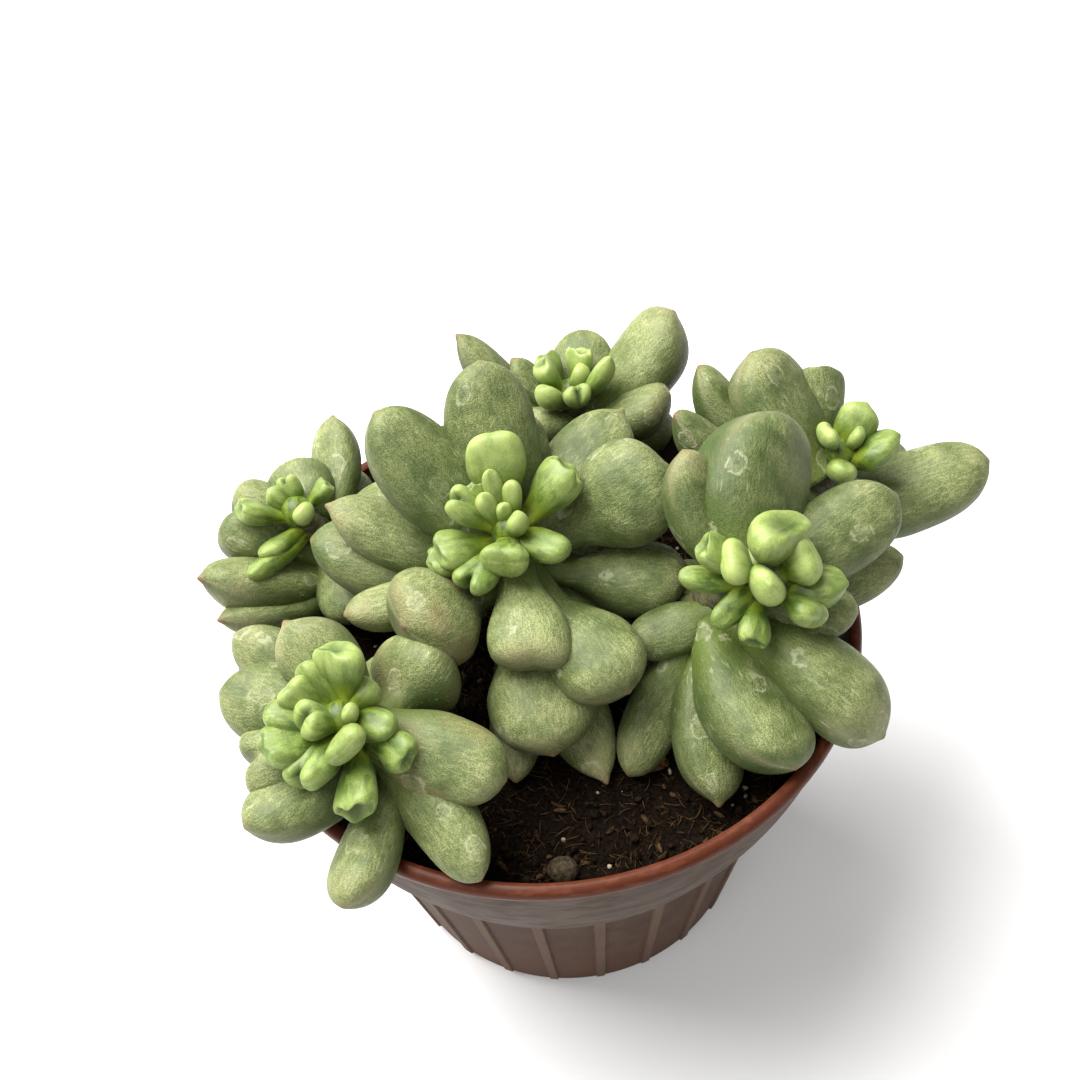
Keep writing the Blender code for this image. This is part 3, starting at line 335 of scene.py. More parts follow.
ROSETTES: tuple[Rosette, ...] = (
    Rosette(
        name="centre",
        heart=(-5.0, -1.0, 104.0),
        lean=8.0,
        toward=-90.0,
        foot=(-3.0, 6.0),
        back=3,
        old=(
            Leaf(146, 44, 34, 17, 6, Shape.OVAL, curl=26, give=TIGHT),
            Leaf(102, 46, 35, 18, 8, Shape.OVAL, curl=24),
            Leaf(76, 32, 27, 10, 10, Shape.EGG),
            Leaf(48, 11, 34, 17, 8, Shape.KEEL, give=TIGHT),
            Leaf(13, 22, 32, 20, 9, Shape.BALL, roll=24, curl=26, give=TIGHT),
            Leaf(-10, -12, 31, 15, 11, Shape.BALL, give=TIGHT),
            Leaf(-58, -14, 33, 17.5, 8, Shape.BALL),
            Leaf(-85, -16, 24, 15, 4, Shape.KIDNEY),
            Leaf(-139, 9, 26, 19.5, 12, Shape.BALL, roll=-10, give=TIGHT, blush=1.0),
            Leaf(162, 16, 34, 13.5, 12, Shape.KEEL, curl=24),
            Leaf(164, 8, 38, 16.5, 17, Shape.OVAL, blush=0.3),
            Leaf(-162, 4, 31, 10, 12, Shape.EGG),
            Leaf(-84, -26, 35, 19.5, 11, Shape.BALL),
            Leaf(-70, -32, 39, 13, 16, Shape.KEEL),
            Leaf(-96, -38, 36, 10, 17, Shape.EGG),
            Leaf(-32, -30, 36, 12, 13, Shape.OVAL),
        ),
        young=(
            Leaf(97, 58, 18, 11, 0, Shape.SPOON, curl=26, give=TIGHT),
            Leaf(28, 36, 16, 9.5, 1, Shape.TRUMPET),
            Leaf(70, 76, 10, 3.8, 0, Shape.BUD),
            Leaf(112, 64, 12, 4, 0, Shape.BUD),
            Leaf(140, 66, 9, 4.2, 0, Shape.BUD),
            Leaf(88, 84, 6.5, 3.2, 0, Shape.BUD),
            Leaf(-50, 66, 7, 4.4, 0, Shape.BEAN),
            Leaf(158, 34, 12.5, 6.5, 0, Shape.PAIR),
            Leaf(140, 44, 13, 5, 3, Shape.CUP),
            Leaf(180, 14, 13.5, 8, 2, Shape.CUP),
            Leaf(-98, 16, 9, 8.5, 0, Shape.KIDNEY),
            Leaf(-132, -4, 13, 7.5, 2, Shape.PAIR),
            Leaf(-36, 10, 11.5, 6.5, 1, Shape.BEAN),
            Leaf(-160, -4, 15, 6.5, 4, Shape.CUP),
        ),
    ),
    Rosette(
        name="front_left",
        heart=(-36.0, -33.0, 97.0),
        lean=34.0,
        toward=-160.0,
        foot=(-22.0, -14.0),
        back=1,
        old=(
            Leaf(60, 6, 18, 19, 8, Shape.BALL, roll=-10, give=TIGHT, blush=0.6),
            Leaf(-36, -8, 25, 15.5, 6, Shape.OVAL, blush=1.0),
            Leaf(-56, -20, 30, 12.5, 9, Shape.OVAL),
            Leaf(-108, -22, 30, 11.5, 14, Shape.CLUB),
            Leaf(-168, 8, 22, 14, 6, Shape.PAIR),
            Leaf(-150, 2, 27, 14, 10, Shape.OVAL),
            Leaf(168, 14, 27, 15.5, 8, Shape.OVAL),
            Leaf(131, 34, 22, 14, 7, Shape.KEEL, give=TIGHT),
            Leaf(142, 12, 33, 12, 12, Shape.EGG),
        ),
        young=(
            Leaf(102, 46, 13, 9.5, 1, Shape.CUP),
            Leaf(146, 42, 12, 5.5, 1, Shape.BUD),
            Leaf(156, 34, 11, 6.5, 0, Shape.KIDNEY),
            Leaf(178, 14, 13.5, 7, 1, Shape.BEAN),
            Leaf(44, 30, 7, 6, 0, Shape.BUD),
            Leaf(-158, 40, 8.5, 7.5, 0, Shape.PAIR),
            Leaf(-88, 26, 9.5, 8, 0, Shape.SPOON),
            Leaf(-30, 16, 9, 6, 1, Shape.BEAN),
            Leaf(-166, 2, 16.5, 8.5, 3, Shape.CUP),
            Leaf(-134, 2, 14.5, 8.5, 2, Shape.PAIR),
            Leaf(-92, -6, 16, 8.5, 3, Shape.TRUMPET),
            Leaf(-40, 0, 13, 6.5, 3, Shape.CUP),
            Leaf(-60, 64, 5.5, 3.5, 0, Shape.BUD),
        ),
    ),
    Rosette(
        name="right",
        heart=(40.0, -16.0, 101.0),
        lean=36.0,
        toward=-20.0,
        foot=(22.0, -4.0),
        back=2,
        old=(
            Leaf(70, 46, 32, 25, 6, Shape.OVAL, roll=24, give=TIGHT),
            Leaf(24, 13, 32, 15.5, 8, Shape.EGG, give=TIGHT),
            Leaf(17, -7, 34, 12, 12, Shape.EGG, give=TIGHT),
            Leaf(-12, -9, 19, 10.5, 8, Shape.EGG),
            Leaf(-74, -14, 31, 19, 18, Shape.OVAL, give=TIGHT),
            Leaf(-46, -26, 34, 17, 14, Shape.EGG, curl=-50),
            Leaf(-94, -30, 31, 14.5, 20, Shape.KEEL),
            Leaf(-130, -36, 30, 11.5, 20, Shape.OVAL),
            Leaf(178, -14, 17, 10, 15, Shape.OVAL),
            Leaf(102, 42, 27, 12, 8, Shape.EGG, curl=30),
            Leaf(88, 36, 26, 11, 8, Shape.KEEL, curl=26),
        ),
        young=(
            Leaf(75, 52, 12, 13, 1, Shape.CUP, give=TIGHT),
            Leaf(165, 52, 10, 8.5, 0, Shape.SPOON),
            Leaf(-5, 52, 9.5, 10, 0, Shape.SPOON, give=TIGHT),
            Leaf(-105, 40, 8, 7.5, 0, Shape.KEEL),
            Leaf(-48, -4, 11, 7, 1, Shape.KIDNEY, roll=-20),
            Leaf(110, 64, 6, 4.5, 0, Shape.BUD),
            Leaf(146, 36, 13.5, 7, 2, Shape.CUP),
            Leaf(-150, -14, 11.5, 5.5, 2, Shape.BEAN),
            Leaf(-14, 4, 13, 9, 2, Shape.KEEL),
            Leaf(-106, -8, 11.5, 6, 3, Shape.CUP),
            Leaf(174, 12, 14, 5, 3, Shape.BUD),
        ),
    ),
    Rosette(
        name="back",
        heart=(10.0, 42.0, 95.5),
        lean=14.0,
        toward=90.0,
        foot=(6.0, 32.0),
        back=4,
        old=(
            Leaf(82, 32, 18, 14, 4, Shape.OVAL),
            Leaf(26, 30, 29, 17.5, 6, Shape.EGG, curl=30),
            Leaf(-10, 20, 20, 13, 6, Shape.EGG, blush=0.4),
            Leaf(-150, 26, 11, 10, 5, Shape.OVAL, blush=1.0),
            Leaf(140, 36, 16, 8, 5, Shape.KEEL),
            Leaf(150, 36, 29, 10.5, 8, Shape.KEEL, curl=26),
        ),
        young=(
            Leaf(60, 60, 10, 6.5, 0, Shape.TRUMPET),
            Leaf(150, 56, 10, 6.5, 0, Shape.CUP),
            Leaf(-80, 50, 10, 6, 0, Shape.PAIR),
            Leaf(-8, 54, 13, 6, 1, Shape.KEEL),
            Leaf(-140, 44, 11, 5.5, 1, Shape.BUD),
            Leaf(30, 72, 8, 4.5, 0, Shape.BUD),
            Leaf(110, 40, 12, 6.5, 2, Shape.CUP),
        ),
    ),
    Rosette(
        name="left",
        heart=(-46.0, 21.5, 91.5),
        lean=26.0,
        toward=170.0,
        foot=(-31.0, 16.0),
        back=3,
        old=(
            Leaf(106, 12, 15, 14.5, 5, Shape.OVAL),
            Leaf(82, 18, 25, 11.5, 8, Shape.KEEL, curl=26, give=TIGHT),
            Leaf(168, 30, 23, 17.5, 12, Shape.PAIR, give=TIGHT),
            Leaf(-157, 16, 31, 15, 18, Shape.KEEL, give=TIGHT),
            Leaf(-150, 13, 31, 11, 21, Shape.KEEL),
            Leaf(-72, 0, 18, 13.5, 11, Shape.OVAL, blush=1.0),
            Leaf(10, 18, 18, 13, 8, Shape.EGG),
        ),
        young=(
            Leaf(150, 40, 7, 5, 0, Shape.KEEL),
            Leaf(30, 30, 7.5, 5, 0, Shape.CUP),
            Leaf(-70, 50, 6, 4.5, 0, Shape.BUD),
            Leaf(180, 20, 13, 6.5, 1, Shape.CUP),
            Leaf(-152, -10, 17, 5, 4, Shape.BEAN),
            Leaf(-140, -4, 12, 5, 3, Shape.BEAN),
            Leaf(120, 50, 8.5, 5, 1, Shape.PAIR),
        ),
    ),
    Rosette(
        name="back_right",
        heart=(60.5, 21.0, 91.0),
        lean=26.0,
        toward=30.0,
        foot=(40.0, 18.0),
        back=4,
        old=(
            Leaf(127, 42, 28, 19.5, 5, Shape.OVAL, roll=-20, give=TIGHT),
            Leaf(141, 38, 34, 12.5, 9, Shape.OVAL, curl=34, give=TIGHT),
            Leaf(98, 38, 21, 11.5, 3, Shape.CUP),
            Leaf(8, 9, 36, 17.5, 15, Shape.OVAL, roll=24, give=TIGHT),
            Leaf(164, 37, 35, 12, 9, Shape.OVAL, curl=36),
        ),
        young=(
            Leaf(60, 44, 11, 8.5, 0, Shape.KEEL),
            Leaf(150, 50, 8, 6, 0, Shape.SPOON),
            Leaf(-4, 26, 12, 9, 1, Shape.KEEL),
            Leaf(-90, 30, 8, 5.5, 1, Shape.BEAN),
            Leaf(20, 56, 7.5, 5, 0, Shape.SPOON),
            Leaf(-52, 4, 10, 5, 3, Shape.TRUMPET),
        ),
    ),
)


def direction(turn: float, rise: float) -> np.ndarray:
    """The unit vector for a compass turn and a rise above level.

    Args:
        turn: Degrees from +X towards +Y.
        rise: Degrees above level.

    Returns:
        The vector.
    """
    turn = math.radians(turn)
    rise = math.radians(rise)
    return np.array((math.cos(rise) * math.cos(turn), math.cos(rise) * math.sin(turn), math.sin(rise)))


def unit(vectors: np.ndarray) -> np.ndarray:
    """Vectors scaled to length 1."""
    return vectors / np.linalg.norm(vectors, axis=-1, keepdims=True)


def bell(distance: np.ndarray, spread: float) -> np.ndarray:
    """A smooth hump of height 1, by the distance from its middle and how far it reaches."""
    return np.exp(-((distance / spread) ** 2))


@dataclass(frozen=True)
class PotWall:
    """The pot's sizes in metres, and the lines of its wall."""

    rim_radius: float = 60.0 * MM
    rim_top: float = 78.0 * MM
    rim_roll: float = 2.5 * MM
    rim_inner: float = 2.6 * MM
    rim_lip: float = 1.0 * MM
    collar_low: float = 44.0 * MM
    collar_radius: float = 48.5 * MM
    collar_swell: float = 1.4 * MM
    collar_bends: Pair = (50.0 * MM, 62.0 * MM)
    body_top: float = 42.0 * MM
    body_bend: float = 41.0 * MM
    body_radius: float = 46.5 * MM
    base_radius: float = 37.5 * MM
    wall: float = 1.4 * MM
    floor: float = 2.0 * MM

    def under_rim(self) -> float:
        """The height of the rolled rim's underside."""
        return self.rim_top - self.rim_roll

    def breaks(self) -> tuple[float, ...]:
        """The heights where the wall's inside changes slope."""
        return (self.floor, self.body_bend, *self.collar_bends, self.under_rim())

    def outer_radius(self, height: float) -> float:
        """The radius of the outside: a tapered body, then a collar that swells outwards.

        Args:
            height: Metres above the base.

        Returns:
            The radius in metres.
        """
        if height <= self.body_top:
            return self.base_radius + (self.body_radius - self.base_radius) * height / self.body_top
        share = (height - self.collar_low) / (self.under_rim() - self.collar_low)
        share = min(max(share, 0.0), 1.0)
        swell = math.sin(math.pi * share) * self.collar_swell
        return self.collar_radius + (self.rim_radius - self.rim_lip - self.collar_radius) * share + swell

    def inner_radius(self, height: float) -> float:
        """The radius of the inside at a height, straight between the wall's breaks."""
        radii = [self.outer_radius(level) - self.wall for level in self.breaks()]
        return float(np.interp(height, self.breaks(), radii))


WALL = PotWall()


@dataclass(frozen=True)
class SoilTop:
    """The soil's sizes in metres, and its rough, mounded surface."""

    edge: float = 66.5 * MM
    mound: float = 2.5 * MM
    rough: float = 0.9 * MM
    gap: float = 0.6 * MM

    def height(self, x: float, y: float) -> float:
        """The height of the surface.

        Args:
            x: Place across.
            y: Place along.

        Returns:
            Metres above the pot's base.
        """
        away = math.hypot(x, y) / WALL.rim_radius
        rough = math.sin(x / (5.1 * MM) + 0.6) * math.cos(y / (6.3 * MM) - 0.4)
        rough += 0.6 * math.sin((x + y) / (3.4 * MM) + 2.0)
        return self.edge + self.mound * (1.0 - away**2) + self.rough * rough * (1.0 - away**4)


SOIL_TOP = SoilTop()


@dataclass(frozen=True)
class StemLine:
    """The line of a rosette's stem, from its foot in the soil to its heart."""

    rosette: Rosette
    depth: float = 12.0 * MM
    above_soil: float = 1.5 * MM
    straight: float = 0.4

    def points(self, count: int) -> np.ndarray:
        """Points up the stem along a smooth bend, after its foot.

        Args:
            count: How many points the bend has.

        Returns:
            The foot and the points, one a row.
        """
        x, y = (value * MM for value in self.rosette.foot)
        start = np.array((x, y, SOIL_TOP.height(x, y) + self.above_soil))
        end = np.array(self.rosette.heart) * MM
        hold = self.straight * np.linalg.norm(end - start)
        controls = (start, start + np.array((0.0, 0.0, hold)), end - self.rosette.axis() * hold, end)
        shares = np.linspace(0.0, 1.0, count)[:, None]
        back = 1 - shares
        weights = (back**3, 3 * shares * back**2, 3 * shares**2 * back, shares**3)
        bend = sum(weight * control for weight, control in zip(weights, controls))
        return np.vstack([(x, y, SOIL_TOP.edge - self.depth), bend])


Spread = tuple[np.ndarray, np.ndarray, np.ndarray]
Stems = list[tuple[int, np.ndarray]]


@dataclass
class Growth:
    """All the leaves of the plant, as arrays, so that they can lean clear of each other."""

    leaves: list[Leaf]
    owners: list[Rosette]
    nodes: list[int]
    rounds: int = 60
    pull_back: float = 0.25
    same_node_room: float = 0.6
    samples: tuple[float, ...] = (0.3, 0.55, 0.8)
    sample_reach: float = 0.17
    neck_out: float = 1.2 * MM
    most_crowd: float = 3.0 * MM
    most_stem_crowd: float = 2.0 * MM
    most_turn: float = 0.12
    soil_room: float = 1.0 * MM
    rim_room: float = 2.0 * MM
    rim_core: float = 1.5 * MM
    rim_lift: float = 0.8

    def __post_init__(self) -> None:
        """Lay the leaves out in arrays."""
        self.forms = [FORMS[leaf.shape] for leaf in self.leaves]
        self.node = np.array(self.nodes)
        self.way = np.array([direction(leaf.turn, leaf.rise) for leaf in self.leaves])
        self.axis = np.array([rosette.axis() for rosette in self.owners])
        self.length = np.array([leaf.length for leaf in self.leaves]) * MM
        self.width = np.array([leaf.width for leaf in self.leaves]) * MM
        self.thick = self.width * np.array([form.thick for form in self.forms])
        self.give = np.array([leaf.give for leaf in self.leaves])
        self.bend = np.radians([leaf.curl for leaf in self.leaves])
        self.roll = np.radians([leaf.roll for leaf in self.leaves])
        hearts = np.array([rosette.heart for rosette in self.owners]) * MM
        down = np.array([leaf.down for leaf in self.leaves]) * MM
        out = self.way - self.axis * (self.way * self.axis).sum(1, keepdims=True)
        self.base = hearts - self.axis * down[:, None] + out * self.neck_out

    def frames(self) -> tuple[np.ndarray, np.ndarray]:
        """Each leaf's side and upward unit vectors, square to the way it points."""
        face = unit(self.axis - self.way * (self.axis * self.way).sum(1, keepdims=True))
        side = np.cross(face, self.way)
        turn = self.roll[:, None]
        return side * np.cos(turn) + face * np.sin(turn), face * np.cos(turn) - side * np.sin(turn)

    def middle(self, along: float, face: np.ndarray) -> np.ndarray:
        """Points on the midline of each leaf, with its bend, at a share of the length."""
        sag = 0.5 * self.bend * self.length * along * (1.0 - along)
        return self.base + self.way * (self.length * along)[:, None] - face * sag[:, None]

    def lean_clear(self, stems: Stems) -> None:
        """Turn leaves about their bases until they hardly touch other nodes' leaves, the soil and the rim.

        Args:
            stems: Each rosette's number and the points of its stem.
        """
        owner = np.tile(np.arange(len(self.leaves)), len(self.samples))
        share = np.concatenate(
            [[form.width_at(np.array(along)) for form in self.forms] for along in self.samples]
        )
        reach = np.concatenate([self.length * self.sample_reach for _ in self.samples])
        wide = self.width[owner] * share / 2
        deep = self.thick[owner] * share / 2
        lever = np.concatenate([self.length * along for along in self.samples])
        same = self.node[owner][:, None] == self.node[owner][None, :]
        own = owner[:, None] == owner[None, :]
        allowed = np.where(same, self.same_node_room, 1.0)
        room = np.where(same, 0.0, GAP)
        give = self.give[owner]
        part = give[:, None] / (give[:, None] + give[None, :])
        wanted = self.way.copy()
        for _ in range(self.rounds):
            side, face = self.frames()
            centre = np.concatenate([self.middle(along, face) for along in self.samples])
            halves = ((self.way, reach), (side, wide), (face, deep))
            axes = tuple(way[owner] * half[:, None] for way, half in halves)
            toward, distance = self._apart(centre, centre)
            size = self._size(toward, axes)
            crowd = allowed * (size + size.T) + room - distance
            crowd = np.where(own, 0.0, np.clip(crowd, 0.0, self.most_crowd))
            push = (toward * (crowd * part)[..., None]).sum(1)
            push += self._push_from_pot(centre, axes)
            push += self._push_from_stems(centre, axes, stems, owner)
            moved = np.zeros_like(self.way)
            np.add.at(moved, owner, 0.5 * push / lever[:, None])
            moved = np.clip(moved, -self.most_turn, self.most_turn) + self.pull_back * (wanted - self.way)
            self.way = unit(self.way + moved - self.way * (moved * self.way).sum(1, keepdims=True))

    @staticmethod
    def _apart(centre: np.ndarray, others: np.ndarray) -> tuple[np.ndarray, np.ndarray]:
        """How each sample lies from each other point.

        Args:
            centre: The samples' places.
            others: The other points.

        Returns:
            Unit vectors towards the sample, and distances.
        """
        apart = centre[:, None] - others[None, :]
        distance = np.linalg.norm(apart, axis=2) + 1e-9
        return apart / distance[..., None], distance

    @staticmethod
    def _size(toward: np.ndarray, axes: Spread) -> np.ndarray:
        """How far each sample, with its half axes, reaches along each unit vector."""
        return np.sqrt(sum(np.einsum("ijk,ik->ij", toward, axis) ** 2 for axis in axes))

    def _push_from_pot(self, centre: np.ndarray, axes: Spread) -> np.ndarray:
        """How far each sample must move to clear the soil, the pot's wall and its rim.

        Args:
            centre: The samples' places.
            axes: Their half axes.

        Returns:
            One move a row.
        """
        push = np.zeros_like(centre)
        tall = np.sqrt(sum(axis[:, 2] ** 2 for axis in axes))
        away = np.linalg.norm(centre[:, :2], axis=1)
        sunk = SOIL_TOP.edge + SOIL_TOP.mound + self.soil_room + tall - centre[:, 2]
        inside = away < WALL.rim_radius - self.rim_room
        push[:, 2] += np.where(inside, np.clip(sunk, 0.0, self.most_crowd), 0.0)
        out = centre[:, :2] / away[:, None]
        height = np.full(len(centre), WALL.rim_top - self.rim_core)
        rim = np.column_stack([out * (WALL.rim_radius - self.rim_core), height])
        apart = centre - rim
        distance = np.linalg.norm(apart, axis=1) + 1e-9
        toward = apart / distance[:, None]
        size = np.sqrt(sum((toward * axis).sum(1) ** 2 for axis in axes))
        crowd = np.clip(size + self.rim_room - distance, 0.0, self.most_crowd)
        upward = toward + np.array((0.0, 0.0, self.rim_lift))
        return push + unit(upward) * crowd[:, None]

    def _push_from_stems(
        self, centre: np.ndarray, axes: Spread, stems: Stems, owner: np.ndarray
    ) -> np.ndarray:
        """How far each sample must move to clear the stems of other rosettes.

        Args:
            centre: The samples' places.
            axes: Their half axes.
            stems: Each rosette's number and the points of its stem.
            owner: Each sample's leaf.

        Returns:
            One move a row.
        """
        push = np.zeros_like(centre)
        for node, points in stems:
            toward, distance = self._apart(centre, points)
            size = self._size(toward, axes)
            crowd = np.clip(size + STEM_RADIUS + GAP - distance, 0.0, self.most_stem_crowd)
            crowd[self.node[owner] == node] = 0.0
            push += (toward * crowd[..., None]).sum(1)
        return push


@dataclass(frozen=True)
class BackLeaves:
    """Old leaves that droop on the far side of a rosette, fanned about +Y, in degrees and millimetres."""

    middle: float = 90.0
    apart: float = 40.0
    wander: Pair = (-6.0, 6.0)
    lengths: Pair = (22.0, 27.0)
    downs: Pair = (8.0, 12.0)
    rises: Pair = (-34.0, -24.0)
    width: float = 0.58
    least_room: float = 8.0

    def grow(self, rosette: Rosette, chance: random.Random) -> Iterator[Leaf]:
        """A rosette's drooping leaves, which end short of the pot's wall.

        Args:
            rosette: The rosette.
            chance: The seeded source of chance.

        Yields:
            The leaves.
        """
        for index in range(rosette.back):
            aside = self.apart * (index - 0.5 * (rosette.back - 1))
            turn = self.middle + aside + chance.uniform(*self.wander)
            length = chance.uniform(*self.lengths)
            down = chance.uniform(*self.downs)
            rise = chance.uniform(*self.rises)
            room = self._room_to_wall(rosette, turn, down)
            if room > self.least_room:
                length = min(length, room / math.cos(math.radians(rise)))
            yield Leaf(turn, rise, length, self.width * length, down, give=SOFT)

    @staticmethod
    def _room_to_wall(rosette: Rosette, turn: float, down: float) -> float:
        """How far level a leaf can reach before it meets the pot's wall.

        Args:
            rosette: The rosette.
            turn: The way the leaf points, seen from above.
            down: How far under the heart it starts.

        Returns:
            Millimetres, or 0 for a leaf that starts over the rim.
        """
        base = (np.array(rosette.heart) - rosette.axis() * down)[:2]
        along = float(base @ direction(turn, 0.0)[:2])
        if along <= 0:
            return 0.0
        inside = (WALL.rim_radius - WALL.rim_inner) / MM
        return math.sqrt(max(inside**2 - float(base @ base) + along**2, along**2)) - along


def grow_plants() -> Growth:
    """Every leaf of every rosette, leaning clear: young leaves first, since old ones give way to them."""
    chance = random.Random(GROWTH_SEED)
    back = BackLeaves()
    first_old = len(ROSETTES)
    sets = [(index, rosette, rosette.young) for index, rosette in enumerate(ROSETTES)]
    for index, rosette in enumerate(ROSETTES):
        sets.append((first_old + index, rosette, (*rosette.old, *back.grow(rosette, chance))))
    rows = [(leaf, rosette, node) for node, rosette, leaves in sets for leaf in leaves]
    growth = Growth(*(list(column) for column in zip(*rows)))
    lines = [StemLine(rosette).points(LEANING_POINTS)[:-2] for rosette in ROSETTES]
    growth.lean_clear(list(enumerate(lines, first_old)))
    return growth


def circle(radius: Any, height: float, turns: np.ndarray) -> np.ndarray:
    """Points on a level ring, one a row, by its radius, its height and the points' angles."""
    return np.stack([radius * np.cos(turns), radius * np.sin(turns), np.full(len(turns), height)], axis=1)


@dataclass
class Patch:
    """A closed surface: its points, its faces and the values stored on its points."""

    points: np.ndarray
    faces: list[tuple[int, ...]]
    values: dict[str, np.ndarray] = field(default_factory=dict)

    def outward(self) -> "Patch":
        """The patch with its faces turned outwards."""
        fans = [(face[0], *pair) for face in self.faces for pair in zip(face[1:-1], face[2:])]
        first, second, third = (self.points - self.points.mean(0))[np.array(fans).T]
        if (first * np.cross(second, third)).sum() < 0:
            self.faces = [face[::-1] for face in self.faces]
        return self


def grid_faces(rows: int, around: int) -> list[tuple[int, ...]]:
    """Four-sided faces between rings of points.

    Args:
        rows: The number of rings.
        around: The points on each ring.

    Returns:
        The faces.
    """
    faces = []
    for low in range(0, (rows - 1) * around, around):
        for step in range(around):
            beside = (step + 1) % around
            faces.append((low + step, low + beside, low + around + beside, low + around + step))
    return faces


def fan_faces(start: int, around: int, centre: int, forwards: bool) -> list[tuple[int, ...]]:
    """Triangles from a ring of points to its centre point, the ring's own way round or the other."""
    pairs = [(start + step, start + (step + 1) % around) for step in range(around)]
    return [(near, far, centre) if forwards else (far, near, centre) for near, far in pairs]


def closed_rings(rings: np.ndarray, low: np.ndarray, high: np.ndarray) -> Patch:
    """A closed surface through rings of points, with a centre point at each end.

    Args:
        rings: Points by row, place on the ring and axis.
        low: The point that closes the first ring.
        high: The point that closes the last ring.

    Returns:
        The surface.
    """
    rows, around = rings.shape[:2]
    points = np.vstack([rings.reshape(-1, 3), low, high])
    last = rows * around
    faces = grid_faces(rows, around)
    faces += fan_faces(0, around, last, False)
    faces += fan_faces(last - around, around, last + 1, True)
    return Patch(points, faces).outward()


def round_ball(splits: int) -> Patch:
    """A ball of radius 1 with near-equal triangles, by how often its faces are split."""
    bm = bmesh.new()
    bmesh.ops.create_icosphere(bm, subdivisions=splits, radius=1.0)
    points = np.array([tuple(vert.co) for vert in bm.verts])
    faces = [tuple(vert.index for vert in face.verts) for face in bm.faces]
    bm.free()
    return Patch(points, faces)


def put_in_scene(name: str, data: Any) -> bpy.types.Object:
    """A new object in the scene.

    Args:
        name: Its name.
        data: Its mesh, light or camera.

    Returns:
        The object.
    """
    thing = bpy.data.objects.new(name, data)
    bpy.context.scene.collection.objects.link(thing)
    return thing


def mesh_of(bm: bmesh.types.BMesh, name: str) -> bpy.types.Mesh:
    """A mesh from an edited one, which is freed.

    Args:
        bm: The edited mesh.
        name: The new mesh's name.

    Returns:
        The mesh.
    """
    mesh = bpy.data.meshes.new(name)
    bm.to_mesh(mesh)
    bm.free()
    return mesh


def make_piece(
    name: str, patches: list[Patch], material: bpy.types.Material, sharp: float | None = None
) -> bpy.types.Object:
    """One object from patches, with their stored values, riding on the pot's body.

    Args:
        name: The object's name.
        patches: The surfaces.
        material: The finish.
        sharp: The angle in degrees above which edges stay sharp, or none.

    Returns:
        The object.
    """
    points, faces, count = [], [], 0
    for patch in patches:
        points.append(patch.points)
        faces += [tuple(corner + count for corner in face) for face in patch.faces]
        count += len(patch.points)
    mesh = bpy.data.meshes.new(name)
    mesh.from_pydata(np.vstack(points).tolist(), [], faces)
    for key in {key: None for patch in patches for key in patch.values}:
        store(mesh, key, patches)
    mesh.materials.append(material)
    mesh.shade_smooth()
    if sharp is not None:
        mesh.set_sharp_from_angle(angle=math.radians(sharp))
    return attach(put_in_scene(name, mesh), BODY)


def store(mesh: bpy.types.Mesh, key: str, patches: list[Patch]) -> None:
    """Store one value of the patches on a mesh's points.

    Args:
        mesh: The mesh made from the patches.
        key: The value's name.
        patches: The patches, where one without the value gets noughts.
    """
    width = next(patch.values[key].size // len(patch.points) for patch in patches if key in patch.values)
    found = [patch.values.get(key, np.zeros(len(patch.points) * width)) for patch in patches]
    kind, slot = ("FLOAT_VECTOR", "vector") if width == 3 else ("FLOAT", "value")
    whole = np.concatenate([values.ravel() for values in found]).astype(np.float32)
    mesh.attributes.new(key, kind, "POINT").data.foreach_set(slot, whole)


@dataclass(frozen=True)
class SmallForms:
    """The small forms of a leaf, as weights on its rings: clefts, dimples, ruffles and troughs."""

    late: np.ndarray
    split: np.ndarray
    rim: np.ndarray
    bowl: np.ndarray
    ruffle: np.ndarray
    trough: np.ndarray

    def shade(self, dimpled: bool) -> np.ndarray:
        """How hollow the skin is, from 0 to 1, which the young leaves' finish darkens as painted shade."""
        shade = self.split + 0.9 * self.bowl * dimpled + 0.25 * self.rim * np.clip(self.ruffle, 0, 1)
        return np.clip(shade + 0.9 * self.trough, 0, 1)


